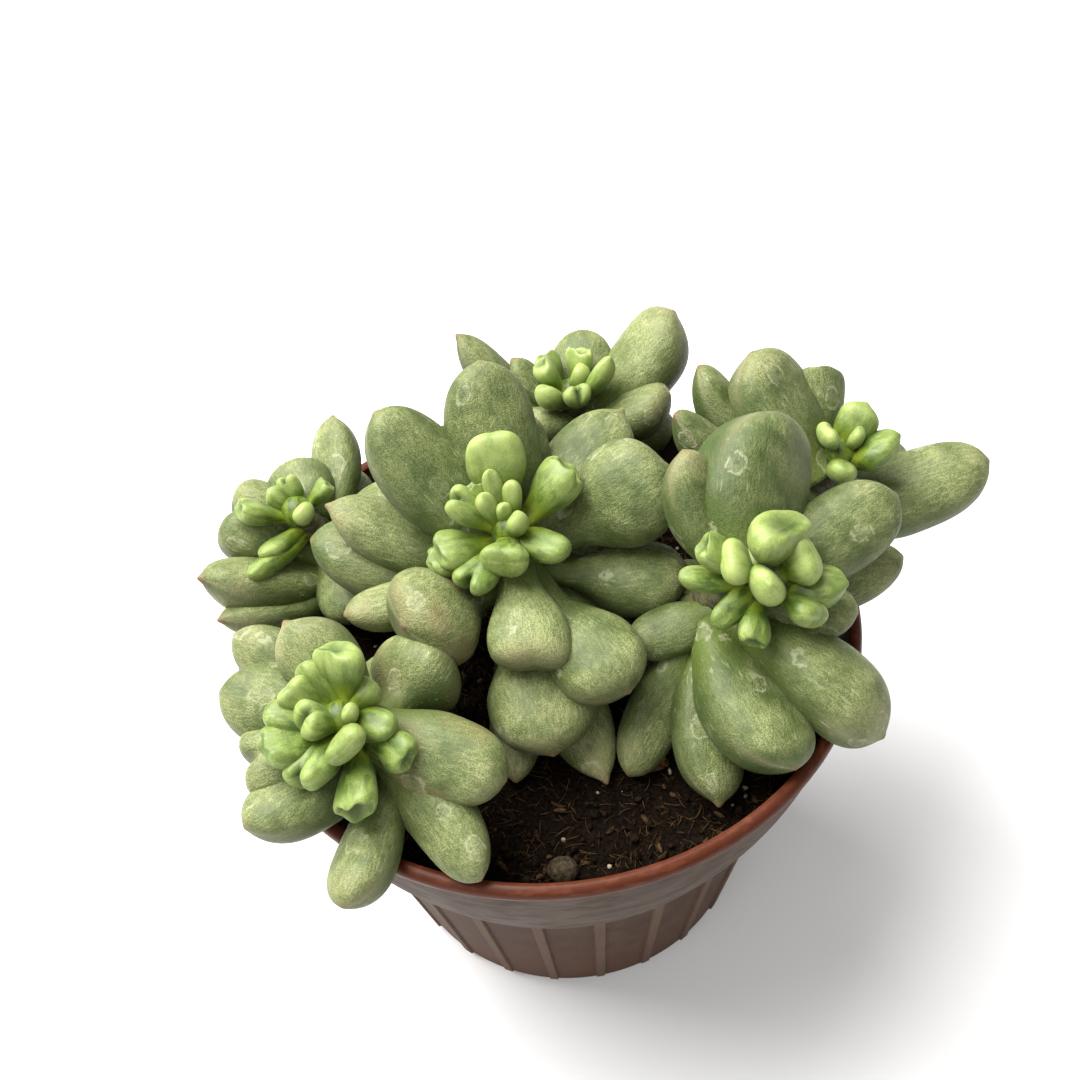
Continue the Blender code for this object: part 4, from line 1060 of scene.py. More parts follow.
@dataclass(frozen=True)
class LeafSkin:
    """How a leaf's skin is drawn: how finely, and its small uneven forms."""

    around: int = 48
    low_rows: int = 18
    end_rows: int = 24
    end_crowding: float = 1.25
    end_thickness: float = 3.2
    full: float = 0.94
    wave: float = 0.022
    late_from: float = 0.4
    point_reach: float = 2.4 * MM
    point_core: float = 0.8 * MM
    point_spot: float = 1.1 * MM
    upper_face: float = 0.88
    lower_face: float = 1.12
    tip_lift: float = 0.12
    cleft_lobes: float = 0.1
    crease: float = 0.07
    crease_reach: float = 0.17
    groove: float = 0.30
    hollow: float = 1.7
    bowl_reach: float = 0.85
    full_dimple: float = 0.16
    rim_at: float = 0.72
    rim_reach: float = 0.24
    crinkle: float = 0.03
    trough: float = 0.05
    trough_reach: float = 0.42
    trough_range: Pair = (0.3, 1.4)
    inner_rises: Pair = (10.0, 60.0)

    def build(self, growth: Growth, index: int, chance: random.Random) -> Patch:
        """One leaf's closed skin.

        Args:
            growth: All the leaves.
            index: The leaf's number.
            chance: The seeded source of chance.

        Returns:
            The skin, with the values that its finish reads.
        """
        form = growth.forms[index]
        length, thick = growth.length[index], growth.thick[index]
        along, wide, deep = self._rows(form)
        outer = along > form.widest
        turn = np.linspace(-0.5 * math.pi, 1.5 * math.pi, self.around, endpoint=False)[None, :]
        lateral = wide * self._fuller(np.cos(turn))
        up = self._fuller(np.sin(turn))
        wave = self._waves(turn, along, chance)
        small = self._small_forms(form, along, wide, turn, chance)
        late = small.late
        step = along + form.lobes * late * (np.abs(lateral) - 0.5) + form.lean * late * lateral * 0.5
        step = step - self.crease * small.split - form.dimple * self.hollow * small.bowl
        step = step + self.crinkle * (form.dimple / self.full_dimple) * small.rim * small.ruffle
        x = 0.5 * growth.width[index] * lateral * wave
        half_thick = 0.5 * thick * deep * (1.0 - self.groove * small.split * (up > 0)) * (1.0 - small.trough)
        z = half_thick * up * wave * np.where(up > 0, self.upper_face, self.lower_face)
        from_line = np.hypot(x, z)
        beak = 0.5 * bell(from_line, self.point_reach) + 0.6 * bell(from_line, self.point_core)
        y = length * (step + form.point * (beak * outer))
        sag = 0.5 * growth.bend[index] * length * along * (1.0 - along)
        lift = self.tip_lift * thick * late * (form.point > 0)
        local = np.stack([x, y, z - sag + lift], axis=2)
        patch = self._placed(growth, index, local)
        drift = np.array([chance.uniform(-1.0, 1.0) for _ in range(3)])
        spot = bell(from_line, self.point_spot) * outer * (form.point > 0)
        shade = small.shade(form.dimple > 0)
        inner = float(np.interp(growth.leaves[index].rise, self.inner_rises, (0.0, 1.0)))
        patch.values = {
            "leaf_at": np.vstack([local.reshape(-1, 3), np.zeros(3), local[-1].mean(0)]) + drift,
            "along": self._on_points(along, 0.0, 1.0),
            "tip": self._on_points(spot, 0.0, float(form.point > 0)),
            # Hollows and creases, which the young leaves' finish darkens as painted shade
            "hollow": self._on_points(shade, 0.0, float(shade[-1].mean())),
            # The underside, where the old leaves' finish thins the dust as partly painted shade
            "under": self._on_points(0.5 - 0.5 * up, 0.5, 0.5),
            # The side margins towards the tip, painted pale: a painted highlight on young leaves, part
            # margin colour and part painted rim light on old ones
            "edge": self._on_points(bell(up, 0.16) * late, 0.0, 0.0),
            "tone": np.full(len(patch.points), chance.random()),
            "inner": np.full(len(patch.points), inner),
            "blush": np.full(len(patch.points), growth.leaves[index].blush),
        }
        return patch

    @staticmethod
    def _placed(growth: Growth, index: int, local: np.ndarray) -> Patch:
        """A leaf's skin where it grows.

        Args:
            growth: All the leaves.
            index: The leaf's number.
            local: Its rings, by side, length and thickness.

        Returns:
            The closed skin.
        """
        side, face = (vectors[index] for vectors in growth.frames())
        turned = np.array((side, growth.way[index], face))
        base = growth.base[index]
        return closed_rings(base + local @ turned, base, base + local[-1].mean(0) @ turned)

    def _small_forms(
        self, form: Form, along: np.ndarray, wide: np.ndarray, turn: np.ndarray, chance: random.Random
    ) -> SmallForms:
        """Where the small forms lie.

        Args:
            form: The leaf's form.
            along: Each ring's share of the length.
            wide: Each ring's share of the half width.
            turn: The angles about the leaf.
            chance: The seeded source of chance.

        Returns:
            Their weights.
        """
        lateral = wide * self._fuller(np.cos(turn))
        late = np.maximum(along - self.late_from, 0.0) ** 2 / (1.0 - self.late_from) ** 2
        bowl = np.clip(1.0 - (wide / self.bowl_reach) ** 2, 0.0, None) ** 2 * (along > form.widest)
        phase = chance.uniform(0.0, math.tau)
        depth = self.trough * chance.uniform(*self.trough_range)
        return SmallForms(
            late=late,
            split=late * bell(lateral, self.crease_reach) * (form.lobes > self.cleft_lobes),
            rim=bell(wide - self.rim_at, self.rim_reach) * late * (form.dimple > 0),
            bowl=bowl,
            ruffle=np.sin(2 * turn + phase) + 0.6 * np.sin(5 * turn + 2.3 * phase),
            trough=depth * bell(lateral, self.trough_reach) * late * (self._fuller(np.sin(turn)) > 0),
        )

    def _rows(self, form: Form) -> tuple[np.ndarray, np.ndarray, np.ndarray]:
        """The rings of a leaf.

        Args:
            form: The leaf's form.

        Returns:
            Each ring's share of the length, of the half width and of the half thickness, as columns.
        """
        low = form.widest * np.linspace(0.0, 1.0, self.low_rows, endpoint=False)
        swing = np.linspace(0.0, 1.0, self.end_rows + 1)[:-1]
        swing = 0.5 * math.pi * (1.0 - (1.0 - swing) ** self.end_crowding)
        end = np.sin(swing) ** (2.0 / END_POWER)
        along = np.concatenate([low, form.widest + (1.0 - form.widest) * end])
        wide = np.concatenate([form.width_at(low), np.cos(swing)])
        deep = np.concatenate([form.width_at(low), np.sqrt(1.0 - end**self.end_thickness)])
        return along[:, None], wide[:, None], deep[:, None]

    def _fuller(self, value: np.ndarray) -> np.ndarray:
        """A sine or cosine swelled towards a squarer section."""
        return np.sign(value) * np.abs(value) ** self.full

    def _waves(self, turn: np.ndarray, along: np.ndarray, chance: random.Random) -> np.ndarray:
        """Slight, slow swellings of a leaf.

        Args:
            turn: The angle about the leaf.
            along: The share of its length.
            chance: The seeded source of chance.

        Returns:
            A factor near 1.
        """
        first, second, third = (chance.uniform(0.0, math.tau) for _ in range(3))
        wave = np.sin(2 * turn + first + 3.0 * along) + 0.6 * np.sin(3 * turn + second - 5.0 * along)
        return 1.0 + self.wave * (wave + 0.8 * np.sin(9.0 * along + third))

    def _on_points(self, value: np.ndarray, low: float, high: float) -> np.ndarray:
        """A value on every point of the rings, then its values on the two closing points."""
        whole = np.broadcast_to(value, (self.low_rows + self.end_rows, self.around))
        return np.concatenate([whole.ravel(), (low, high)])


OLD_SKIN = LeafSkin()
YOUNG_SKIN = LeafSkin(
    around=44,
    low_rows=14,
    end_rows=26,
    wave=0.045,
    crease=0.11,
    groove=0.42,
    hollow=1.25,
    crinkle=0.045,
    trough=0.38,
)


@dataclass(frozen=True)
class Plants:
    """The six rosettes: old leaves on their stems, and young leaves at their hearts."""

    stem_sides: int = 20
    stem_rows: int = 44
    stem_slim: float = 0.97
    core_radius: float = 3.2 * MM
    core_out: float = 0.5 * MM
    core_sides: int = 20
    core_rows: int = 12

    def build(self) -> list[bpy.types.Object]:
        """Grow the leaves of every rosette and dress them."""
        growth = grow_plants()
        chance = random.Random(SKIN_SEED)
        young_finish = FreshLeaf().make()
        old_finish = DustyLeaf().make()
        pieces = []
        for index, rosette in enumerate(ROSETTES):
            young = [YOUNG_SKIN.build(growth, leaf, chance) for leaf in np.flatnonzero(growth.node == index)]
            young.append(self._core(rosette))
            piece = make_piece(f"young_leaves_{rosette.name}", young, young_finish)
            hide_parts(f"heart_{rosette.name}")
            pieces.append(piece)
            node = len(ROSETTES) + index
            old = [OLD_SKIN.build(growth, leaf, chance) for leaf in np.flatnonzero(growth.node == node)]
            old.append(self._stem(rosette))
            piece = make_piece(f"old_leaves_{rosette.name}", old, old_finish)
            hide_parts(f"rosette_{rosette.name}")
            pieces.append(piece)
        return pieces

    def _core(self, rosette: Rosette) -> Patch:
        """The growing tip that the young leaves stand on.

        Args:
            rosette: The rosette.

        Returns:
            A small ball.
        """
        centre = np.array(rosette.heart) * MM + rosette.axis() * self.core_out
        rise = np.linspace(-0.5, 0.5, self.core_rows + 2)[1:-1, None] * math.pi
        turn = np.linspace(0.0, math.tau, self.core_sides, endpoint=False)[None, :]
        tall = np.broadcast_to(np.sin(rise), (self.core_rows, self.core_sides))
        level = np.cos(rise)
        ball = np.stack([level * np.cos(turn), level * np.sin(turn), tall], axis=2) * self.core_radius
        top = np.array((0.0, 0.0, self.core_radius))
        patch = closed_rings(centre + ball, centre - top, centre + top)
        count = len(patch.points)
        patch.values = {
            "leaf_at": patch.points - centre,
            "along": np.full(count, 0.4),
            # A little painted shade over the whole core
            "hollow": np.full(count, 0.1),
        }
        return patch

    def _stem(self, rosette: Rosette) -> Patch:
        """A rosette's stem, with the low rings that fallen leaves leave.

        Args:
            rosette: The rosette.

        Returns:
            The tube.
        """
        points = StemLine(rosette).points(self.stem_rows)
        forward = unit(np.gradient(points, axis=0))
        side = unit(np.cross(forward, (0.31, 0.17, 0.93)))
        other = np.cross(forward, side)
        turn = np.linspace(0.0, math.tau, self.stem_sides, endpoint=False)[None, :, None]
        place = np.arange(len(points))[:, None]
        rings = 1.0 + 0.05 * np.sin(1.9 * place) + 0.03 * np.sin(3 * turn[..., 0] + place)
        out = side[:, None] * np.cos(turn) + other[:, None] * np.sin(turn)
        surface = points[:, None] + out * (STEM_RADIUS * self.stem_slim * rings)[..., None]
        patch = closed_rings(surface, points[0], points[-1])
        patch.values = {"leaf_at": patch.points.copy(), "stem": np.ones(len(patch.points))}
        return patch


@dataclass(frozen=True)
class Pot:
    """The thin plastic pot: rolled rim, swelling collar, tapered ribbed body and a drained floor.

    Heights and radii in lists are in millimetres. The rim's roll is listed as steps in and down from its
    widest radius and its top, and the base's and the collar's edges as steps in and up from theirs.
    """

    rib_count: int = 24
    rib_width: float = 2.0 * MM
    rib_proud: float = 0.6 * MM
    rib_foot: float = 1.3 * MM
    rib_foot_ease: float = 0.5 * MM
    rib_head: float = 42.3 * MM
    rib_head_ease: float = 0.6 * MM
    rib_first: float = -85.5
    rib_edge: float = 0.35 * MM
    base_rings: tuple[float, ...] = (6, 12, 18, 24, 30, 35.5)
    base_edge: tuple[Pair, ...] = ((0.6, 0.0), (0.1, 0.25))
    foot_rings: tuple[float, ...] = (0.8, 1.2, 1.5, 1.7, 2.0, 2.6)
    body_rings: Place = (4.0, 38.0, 1.7)
    head_rings: tuple[float, ...] = (38.4, 39.2, 39.7, 40.0, 40.2, 40.8, 41.5)
    collar_edge: Pair = (0.5, 0.45)
    collar_rings: int = 22
    roll: tuple[Pair, ...] = (
        (0.25, 2.45), (0.08, 2.2), (0.0, 1.7), (0.05, 1.2), (0.3, 0.65), (0.7, 0.28), (1.4, 0.0), (2.0, 0.1),
        (2.45, 0.4),
    )
    floor_rings: tuple[float, ...] = (33, 28, 22, 16, 10, 5)
    drain_count: int = 6
    drain_radius: float = 3.5 * MM
    drain_ring: float = 24.0 * MM
    drain_sides: int = 32

    def build(self) -> bpy.types.Object:
        """Build and dress the pot."""
        turns = self._turns()
        rows = [self._row(radius, height, turns, self._rib_at(height)) for radius, height in self._outside()]
        rows += [self._row(radius, height, turns, 0.0) for radius, height in self._inside()]
        rings = np.array([points for points, _ in rows])
        patch = closed_rings(rings, np.zeros(3), np.array((0.0, 0.0, WALL.floor)))
        patch.values = {"rib": np.concatenate([ribbed for _, ribbed in rows] + [np.zeros(2)])}
        piece = make_piece("ribbed_pot", [patch], PotPlastic().make(), sharp=40.0)
        self._drill(piece)
        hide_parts("pot")
        return piece

    def _turns(self) -> np.ndarray:
        """The angles of the pot's columns, closer together at the ribs' edges."""
        pitch = math.tau / self.rib_count
        half = 0.5 * self.rib_width / WALL.body_radius
        edge = self.rib_edge / WALL.body_radius
        right = [0.4 * half, half, half + 0.5 * edge, half + edge]
        offsets = [-offset for offset in reversed(right)] + right
        offsets += [half + edge + (pitch - 2 * (half + edge)) * share for share in (0.2, 0.4, 0.6, 0.8)]
        firsts = [math.radians(self.rib_first) + pitch * index for index in range(self.rib_count)]
        return np.array([first + offset for first in firsts for offset in offsets])

    def _outside(self) -> list[Pair]:
        """Radius and height up the outside, from the middle of the base to the top of the rim."""
        line = [(radius * MM, 0.0) for radius in self.base_rings]
        line += [(WALL.base_radius - inset * MM, rise * MM) for inset, rise in self.base_edge]
        for height in (*self.foot_rings, *np.arange(*self.body_rings), *self.head_rings):
            line.append((WALL.outer_radius(height * MM), height * MM))
        inset, rise = (step * MM for step in self.collar_edge)
        line += [(WALL.body_radius, WALL.body_top), (WALL.body_radius + inset, WALL.body_top + rise)]
        line += [(WALL.collar_radius - inset, WALL.collar_low - rise)]
        for height in np.linspace(WALL.collar_low, WALL.under_rim(), self.collar_rings):
            line.append((WALL.outer_radius(height), height))
        line += [(WALL.rim_radius - inset * MM, WALL.rim_top - drop * MM) for inset, drop in self.roll]
        return line

    def _inside(self) -> list[Pair]:
        """Radius and height down the inside, from the rim to the middle of the floor."""
        low, _, collar_foot, collar_middle, under_rim = WALL.breaks()
        heights = [*np.linspace(under_rim, collar_middle, 10), *np.linspace(collar_foot, low, 8)]
        line = [(WALL.inner_radius(height), height) for height in heights]
        return line + [(radius * MM, WALL.floor) for radius in self.floor_rings]

    def _row(
        self, radius: float, height: float, turns: np.ndarray, rib: float
    ) -> tuple[np.ndarray, np.ndarray]:
        """One ring of the pot's surface.

        Args:
            radius: The ring's radius without ribs.
            height: Its height.
            turns: The columns' angles.
            rib: How far the ribs stand out here, from 0 to 1.

        Returns:
            The ring's points, and how far up a rib each one is, from 0 to 1.
        """
        pitch = math.tau / self.rib_count
        from_rib = (turns - math.radians(self.rib_first) + 0.5 * pitch) % pitch - 0.5 * pitch
        beyond = (np.abs(from_rib) * WALL.body_radius - 0.5 * self.rib_width) / self.rib_edge
        ribbed = np.clip(1.0 - beyond, 0.0, 1.0) * rib
        ribbed = ribbed * ribbed * (3.0 - 2.0 * ribbed)
        return circle(radius + self.rib_proud * ribbed, height, turns), ribbed

    def _rib_at(self, height: float) -> float:
        """How far a rib stands out at a height, from 0 to 1.

        Args:
            height: Metres above the base.

        Returns:
            The share.
        """
        rise = (height - self.rib_foot) / self.rib_foot_ease
        fall = (self.rib_head - height) / self.rib_head_ease
        return float(np.clip(min(rise, fall), 0.0, 1.0))

    def _drill(self, piece: bpy.types.Object) -> None:
        """Cut the drain holes through the floor.

        Args:
            piece: The pot.
        """
        bm = bmesh.new()
        sizes = {"radius1": self.drain_radius, "radius2": self.drain_radius, "depth": 3 * WALL.floor}
        for index in range(self.drain_count):
            turn = math.tau * index / self.drain_count
            place = (self.drain_ring * math.cos(turn), self.drain_ring * math.sin(turn), WALL.floor / 2)
            seat = Matrix.Translation(place)
            bmesh.ops.create_cone(bm, cap_ends=True, segments=self.drain_sides, matrix=seat, **sizes)
        drains = put_in_scene("drains", mesh_of(bm, "drains"))
        cut = piece.modifiers.new("Drains", "BOOLEAN")
        cut.operation = "DIFFERENCE"
        cut.object = drains
        cut.solver = "MANIFOLD"
        bpy.context.view_layer.update()
        graph = bpy.context.evaluated_depsgraph_get()
        drilled = bpy.data.meshes.new_from_object(piece.evaluated_get(graph))
        piece.modifiers.clear()
        piece.data = drilled
        bpy.data.objects.remove(drains, do_unlink=True)


@dataclass(frozen=True)
class Earth:
    """The peat in the pot: its rough top, and the crumbs, fibres and pale grains that lie on it.

    Sizes of what lies on it are the least and the greatest, in millimetres.
    """

    around: int = 180
    rings: int = 80
    clod: float = 2.4 * MM
    relief: float = 0.80 * MM
    spread: float = 55.5 * MM
    edge_drop: float = 0.6 * MM
    crumbs: int = 1100
    crumb_sizes: Pair = (0.35, 1.05)
    grains: int = 90
    grain_sizes: Pair = (0.25, 0.65)
    fibres: int = 3000
    fibre_lengths: Pair = (0.9, 4.0)
    fibre_widths: Pair = (0.05, 0.13)
    fibre_bend: float = 0.28
    chips: int = 260
    chip_lengths: Pair = (1.0, 3.0)
    chip_widths: Pair = (0.3, 0.6)
    chip_bend: float = 0.35
    sliver_rings: int = 6
    sliver_tilt: float = 0.25
    sliver_arch: float = 0.12
    sliver_lift: float = 0.25 * MM
    crumb_lift: float = 0.45
    crumb_bumps: float = 0.35
    crumb_stretch: Pair = (0.65, 1.25)
    clod_layers: tuple[Place, ...] = ((1.0, 1.0, 0.0), (0.6, 0.45, 0.01), (0.35, 0.22, 0.02))

    def build(self) -> list[bpy.types.Object]:
        """Build and dress the soil."""
        chance = random.Random(SOIL_SEED)
        top = make_piece("peat", [self._bed()], PEAT.make())
        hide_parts("soil")
        ball = round_ball(2)
        crumbs = [self._crumb(ball, chance, self.crumb_sizes) for _ in range(self.crumbs)]
        grains = [self._crumb(ball, chance, self.grain_sizes) for _ in range(self.grains)]
        fibre = (self.fibre_lengths, self.fibre_widths, self.fibre_bend)
        chip = (self.chip_lengths, self.chip_widths, self.chip_bend)
        slivers = [self._sliver(chance, *fibre) for _ in range(self.fibres)]
        slivers += [self._sliver(chance, *chip) for _ in range(self.chips)]
        pieces = [
            top,
            make_piece("peat_crumbs", crumbs, CRUMB.make()),
            make_piece("peat_fibres", slivers, FIBRE.make()),
            make_piece("pale_grains", grains, GRAIN.make()),
        ]
        return [piece for piece in pieces]

    def surface(self, x: float, y: float) -> float:
        """The height of the clods at a place.

        Args:
            x: Place across.
            y: Place along.

        Returns:
            Metres above the pot's base.
        """
        clods = 0.0
        for strength, size, shift in self.clod_layers:
            clods += strength * noise.noise(Vector((x, y, shift)) / (size * self.clod))
        return SOIL_TOP.height(x, y) + self.relief * clods

    def _bed(self) -> Patch:
        """The soil's body: the flat underside and the wall, then clods on top."""
        reach = WALL.inner_radius(SOIL_TOP.edge) - SOIL_TOP.gap
        turns = np.linspace(0.0, math.tau, self.around, endpoint=False)
        low = WALL.floor + GAP
        sides = (low, *WALL.breaks()[1:-1])
        rows = [circle(WALL.inner_radius(height) - SOIL_TOP.gap, height, turns) for height in sides]
        for share in np.linspace(1.0, 0.02, self.rings):
            ring = circle(reach * share, 0.0, turns)
            ring[:, 2] = [self.surface(x, y) - self.edge_drop * float(share > 0.985) for x, y, _ in ring]
            rows.append(ring)
        top = self.surface(0.0, 0.0)
        return closed_rings(np.array(rows), np.array((0.0, 0.0, low)), np.array((0.0, 0.0, top)))

    def _seat(self, chance: random.Random) -> Pair:
        """A chance place on the soil.

        Args:
            chance: The seeded source of chance.

        Returns:
            The place across and along.
        """
        away = self.spread * math.sqrt(chance.random())
        turn = chance.uniform(0.0, math.tau)
        return away * math.cos(turn), away * math.sin(turn)

    def _crumb(self, ball: Patch, chance: random.Random, sizes: Pair) -> Patch:
        """A crumb lying on the soil.

        Args:
            ball: The ball that it is shaped from.
            chance: The seeded source of chance.
            sizes: The least and greatest half size in millimetres.

        Returns:
            The crumb.
        """
        size = chance.uniform(*sizes) * chance.uniform(0.6, 1.0) * MM
        stretch = np.array([chance.uniform(*self.crumb_stretch) for _ in range(3)])
        shift = Vector((chance.uniform(0.0, 50.0), 0, 0))
        bumps = [1.0 + self.crumb_bumps * noise.noise(Vector(point) * 1.3 + shift) for point in ball.points]
        points = ball.points * np.array(bumps)[:, None] * stretch * size
        x, y = self._seat(chance)
        height = self.surface(x, y) + self.crumb_lift * size
        turn = np.array(Matrix.Rotation(chance.uniform(0.0, math.tau), 3, "Z"))
        tone = np.full(len(points), chance.random())
        return Patch(points @ turn.T + np.array((x, y, height)), ball.faces, {"tone": tone})

    def _sliver(self, chance: random.Random, lengths: Pair, widths: Pair, bend: float) -> Patch:
        """A fibre or a thin chip lying on the soil.

        Args:
            chance: The seeded source of chance.
            lengths: The least and greatest length in millimetres.
            widths: The least and greatest half width in millimetres.
            bend: How strongly it curves.

        Returns:
            The sliver.
        """
        length = chance.uniform(*lengths) * MM
        wide = chance.uniform(*widths) * MM
        flat = wide * chance.uniform(0.3, 0.8)
        turn = chance.uniform(0.0, math.tau)
        curve = chance.uniform(-bend, bend) * length
        tilt = chance.uniform(-self.sliver_tilt, self.sliver_tilt)
        x, y = self._seat(chance)
        rings = []
        for share in np.linspace(-0.5, 0.5, self.sliver_rings):
            slim = math.sqrt(1.0 - 0.85 * (2.0 * share) ** 2)
            ahead = length * share
            aside = curve * (0.25 - share**2) * 2.0
            lift = tilt * ahead + self.sliver_arch * length * (0.25 - share**2)
            corners = ((1, 0), (0, 1), (-1, 0), (0, -1))
            rings.append([(ahead, aside + wide * slim * c, lift + flat * slim * s) for c, s in corners])
        spin = np.array(Matrix.Rotation(turn, 3, "Z"))
        rings = np.array(rings) @ spin.T + np.array((x, y, self.surface(x, y) + self.sliver_lift))
        patch = closed_rings(rings, rings[0].mean(0), rings[-1].mean(0))
        patch.values = {"tone": np.full(len(patch.points), chance.random())}
        return patch


@dataclass(frozen=True)
class LooseThings:
    """A pebble and a curled, fallen leaf that lie on the soil."""

    pebble_place: Pair = (-2.0 * MM, -50.0 * MM)
    pebble_half: Place = (3.0 * MM, 2.6 * MM, 2.4 * MM)
    scrap_place: Pair = (15.0 * MM, -30.0 * MM)
    scrap_half: Place = (4.6 * MM, 2.2 * MM, 0.8 * MM)
    scrap_skin: float = 0.16 * MM
    seated: float = 0.55

    def build(self) -> list[bpy.types.Object]:
        """Build and dress both."""
        pebble = make_piece("grey_pebble", [self._pebble()], STONE.make())
        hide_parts("pebble")
        scrap = make_piece("curled_dry_leaf", [self._scrap()], DRY_LEAF.make())
        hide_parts("dry_leaf")
        return [pebble, scrap]

    def _centre(self, place: Pair, half: Place) -> np.ndarray:
        """The middle of a thing that lies on the soil, by its place and half sizes."""
        return np.array((*place, SOIL_TOP.height(*place) + half[2] * self.seated))

    def _pebble(self) -> Patch:
        """A worn stone with a few blunt facets."""
        ball = round_ball(4)
        places = [Vector(point) for point in ball.points]
        worn = [0.94 + 0.10 * noise.noise(place * 1.1) + 0.03 * noise.noise(place * 4.0) for place in places]
        points = ball.points * np.array(worn)[:, None] * np.array(self.pebble_half)
        return Patch(points + self._centre(self.pebble_place, self.pebble_half), ball.faces)

    def _scrap(self) -> Patch:
        """A thin leaf, curled along its length and wavy at its edge."""
        long, wide, tall = self.scrap_half
        share = np.linspace(-0.96, 0.96, 30)[:, None]
        corner = np.linspace(0.0, math.tau, 28, endpoint=False)[None, :]
        across = np.cos(corner)
        curl = 0.55 * tall * across**2 * (1.0 + 0.3 * np.sin(5.0 * share + across))
        height = 0.5 * tall * np.cos(2.4 * share) + curl - 0.3 * tall + self.scrap_skin * np.sin(corner)
        ahead = np.broadcast_to(long * share, height.shape)
        rings = np.stack([ahead, wide * (1.0 - share**2) ** 0.6 * across, height], axis=2)
        rings = rings + self._centre(self.scrap_place, self.scrap_half)
        return closed_rings(rings, rings[0].mean(0), rings[-1].mean(0))


@dataclass(frozen=True)
class DustyLeaf:
    """Old leaves: grey-green under pale dust worn through in fine dots, with blushes and water marks,
    thinner dust with painted shade on their undersides, and pale margins that are partly a painted rim
    light.
    """

    skin: Colour = (0.033, 0.062, 0.003)
    dust: Colour = (0.268, 0.303, 0.118)
    neck: Colour = (0.110, 0.160, 0.012)
    blush: Colour = (0.225, 0.150, 0.060)
    water: Colour = (0.470, 0.480, 0.310)
    # A pale brownish margin line: partly the leaf's own margin colour, partly a painted rim light
    edge: Colour = (0.330, 0.290, 0.170)
    crown: Colour = (0.250, 0.222, 0.108)
    point: Colour = (0.190, 0.100, 0.050)
    bark: Colour = (0.085, 0.085, 0.030)
    bark_dark: float = 0.45
    dot: float = 0.24 * MM
    vein: float = 0.55 * MM
    cloud: float = 3.0 * MM
    patch: float = 7.0 * MM
    stain: float = 9.0 * MM
    drop: float = 7.0 * MM

    def make(self) -> bpy.types.Material:
        """The material."""
        tree = ShaderTree("dusty_leaf")
        at = tree.stored("leaf_at", "Vector")
        along = tree.stored("along")
        tone = tree.stored("tone")
        stem = tree.stored("stem")
        dots = tree.smooth(tree.noise(at, self.dot, 0.5), 0.44, 0.58)
        veins = tree.smooth(tree.noise(tree.stretch(at, 1.0, 0.3, 1.0), self.vein), 0.40, 0.62)
        clouds = tree.smooth(tree.noise(at, self.cloud, 3.0), 0.34, 0.68)
        patches = tree.smooth(tree.noise(at, self.patch, 3.0), 0.32, 0.66)
        thick = 0.05 + 0.40 * patches + 0.18 * clouds + 0.28 * tone
        thick = thick * (0.62 + 0.48 * tree.smooth(along, 0.25, 0.95))
        # Painted shade: less dust, so the dark skin shows, on the undersides; partly real dust lying on the
        # upper faces
        top_dust_and_underside_shade = 1.25 - 0.95 * tree.smooth(tree.stored("under"), 0.05, 0.7)
        dusted = thick * (0.35 + 0.55 * dots + 0.35 * veins) * top_dust_and_underside_shade
        young_part = 1 - tree.smooth(along, 0.06, 0.42 + 0.15 * tone)
        stained = tree.smooth(tree.noise(at, self.stain), 0.44, 0.70) * tree.stored("blush")
        rings = tree.smooth(tree.noise(tree.stretch(at, 1, 1, 5), 3.0 * MM, 3.0), 0.4, 0.6)
        colour = tree.layers(
            self.skin,
            (dusted, self.dust),
            (0.70 * young_part * (1 - 0.3 * clouds), self.neck),
            (0.6 * stained * (0.5 + 0.5 * dots), self.blush),
            (0.7 * tree.smooth(along, 0.70, 1.0) * patches * tone, self.crown),
            # The margins: partly margin colour, partly painted rim light
            (0.5 * tree.stored("edge"), self.edge),
            (0.50 * self._marks(tree, at), self.water),
            (0.42 * self._scratches(tree, at, patches), self.water),
            (tree.stored("tip") * (0.45 + 0.55 * tree.noise(at, 1.2 * MM)), self.point),
            (stem, tree.mix(rings, self.bark, tuple(self.bark_dark * part for part in self.bark))),
        )
        relief = 0.7 * dots + 0.5 * veins + 1.5 * tree.noise(at, 2.5 * MM) + stem * rings
        constants = {
            "Subsurface Weight": 0.08,
            "Subsurface Radius": (0.8, 1.0, 0.15),
            "Subsurface Scale": 1.4 * MM,
            "Sheen Weight": 0.05,
            "Sheen Roughness": 0.45,
            "Sheen Tint": (0.86, 0.86, 0.66, 1.0),
            "Specular IOR Level": 0.42,
            "Coat Weight": 0.10,
            "Coat Roughness": 0.34,
        }
        rough = 0.50 + 0.16 * dusted + 0.10 * dots
        return tree.finish(constants, {"Base Color": colour, "Roughness": rough}, (relief, 0.12 * MM, 0.7))

    def _marks(self, tree: ShaderTree, at: Expr) -> Expr:
        """Pale ovals and thin rings that drops of hard water leave.

        Args:
            tree: The tree to add to.
            at: The place on the leaf.

        Returns:
            Their mask.
        """
        bent = tree.stretch(at, 1.0, 0.75, 1.0)
        away = tree.cells(bent, self.drop) + 0.22 * (tree.noise(at, 1.3 * MM) - 0.5)
        chosen = tree.smooth(tree.cells(bent, self.drop, "Color"), 0.46, 0.50)
        ring = tree.smooth(away, 0.20, 0.23) * (1 - tree.smooth(away, 0.25, 0.29))
        inside = 1 - tree.smooth(away, 0.14, 0.27)
        broken = tree.smooth(tree.noise(at, 1.6 * MM), 0.38, 0.55)
        return chosen * (0.75 * ring + 0.30 * inside) * broken

    @staticmethod
    def _scratches(tree: ShaderTree, at: Expr, patches: Expr) -> Expr:
        """Fine whitish scratches.

        Args:
            tree: The tree to add to.
            at: The place on the leaf.
            patches: Where the dust is thick.

        Returns:
            Their mask.
        """
        lines = tree.noise(tree.stretch(at, 1.0, 0.08, 1.0), 0.5 * MM, 1.0)
        here = tree.smooth(tree.noise(at, 6.0 * MM, 1.0), 0.50, 0.62)
        return tree.smooth(lines, 0.63, 0.71) * here * (0.4 + 0.6 * patches)


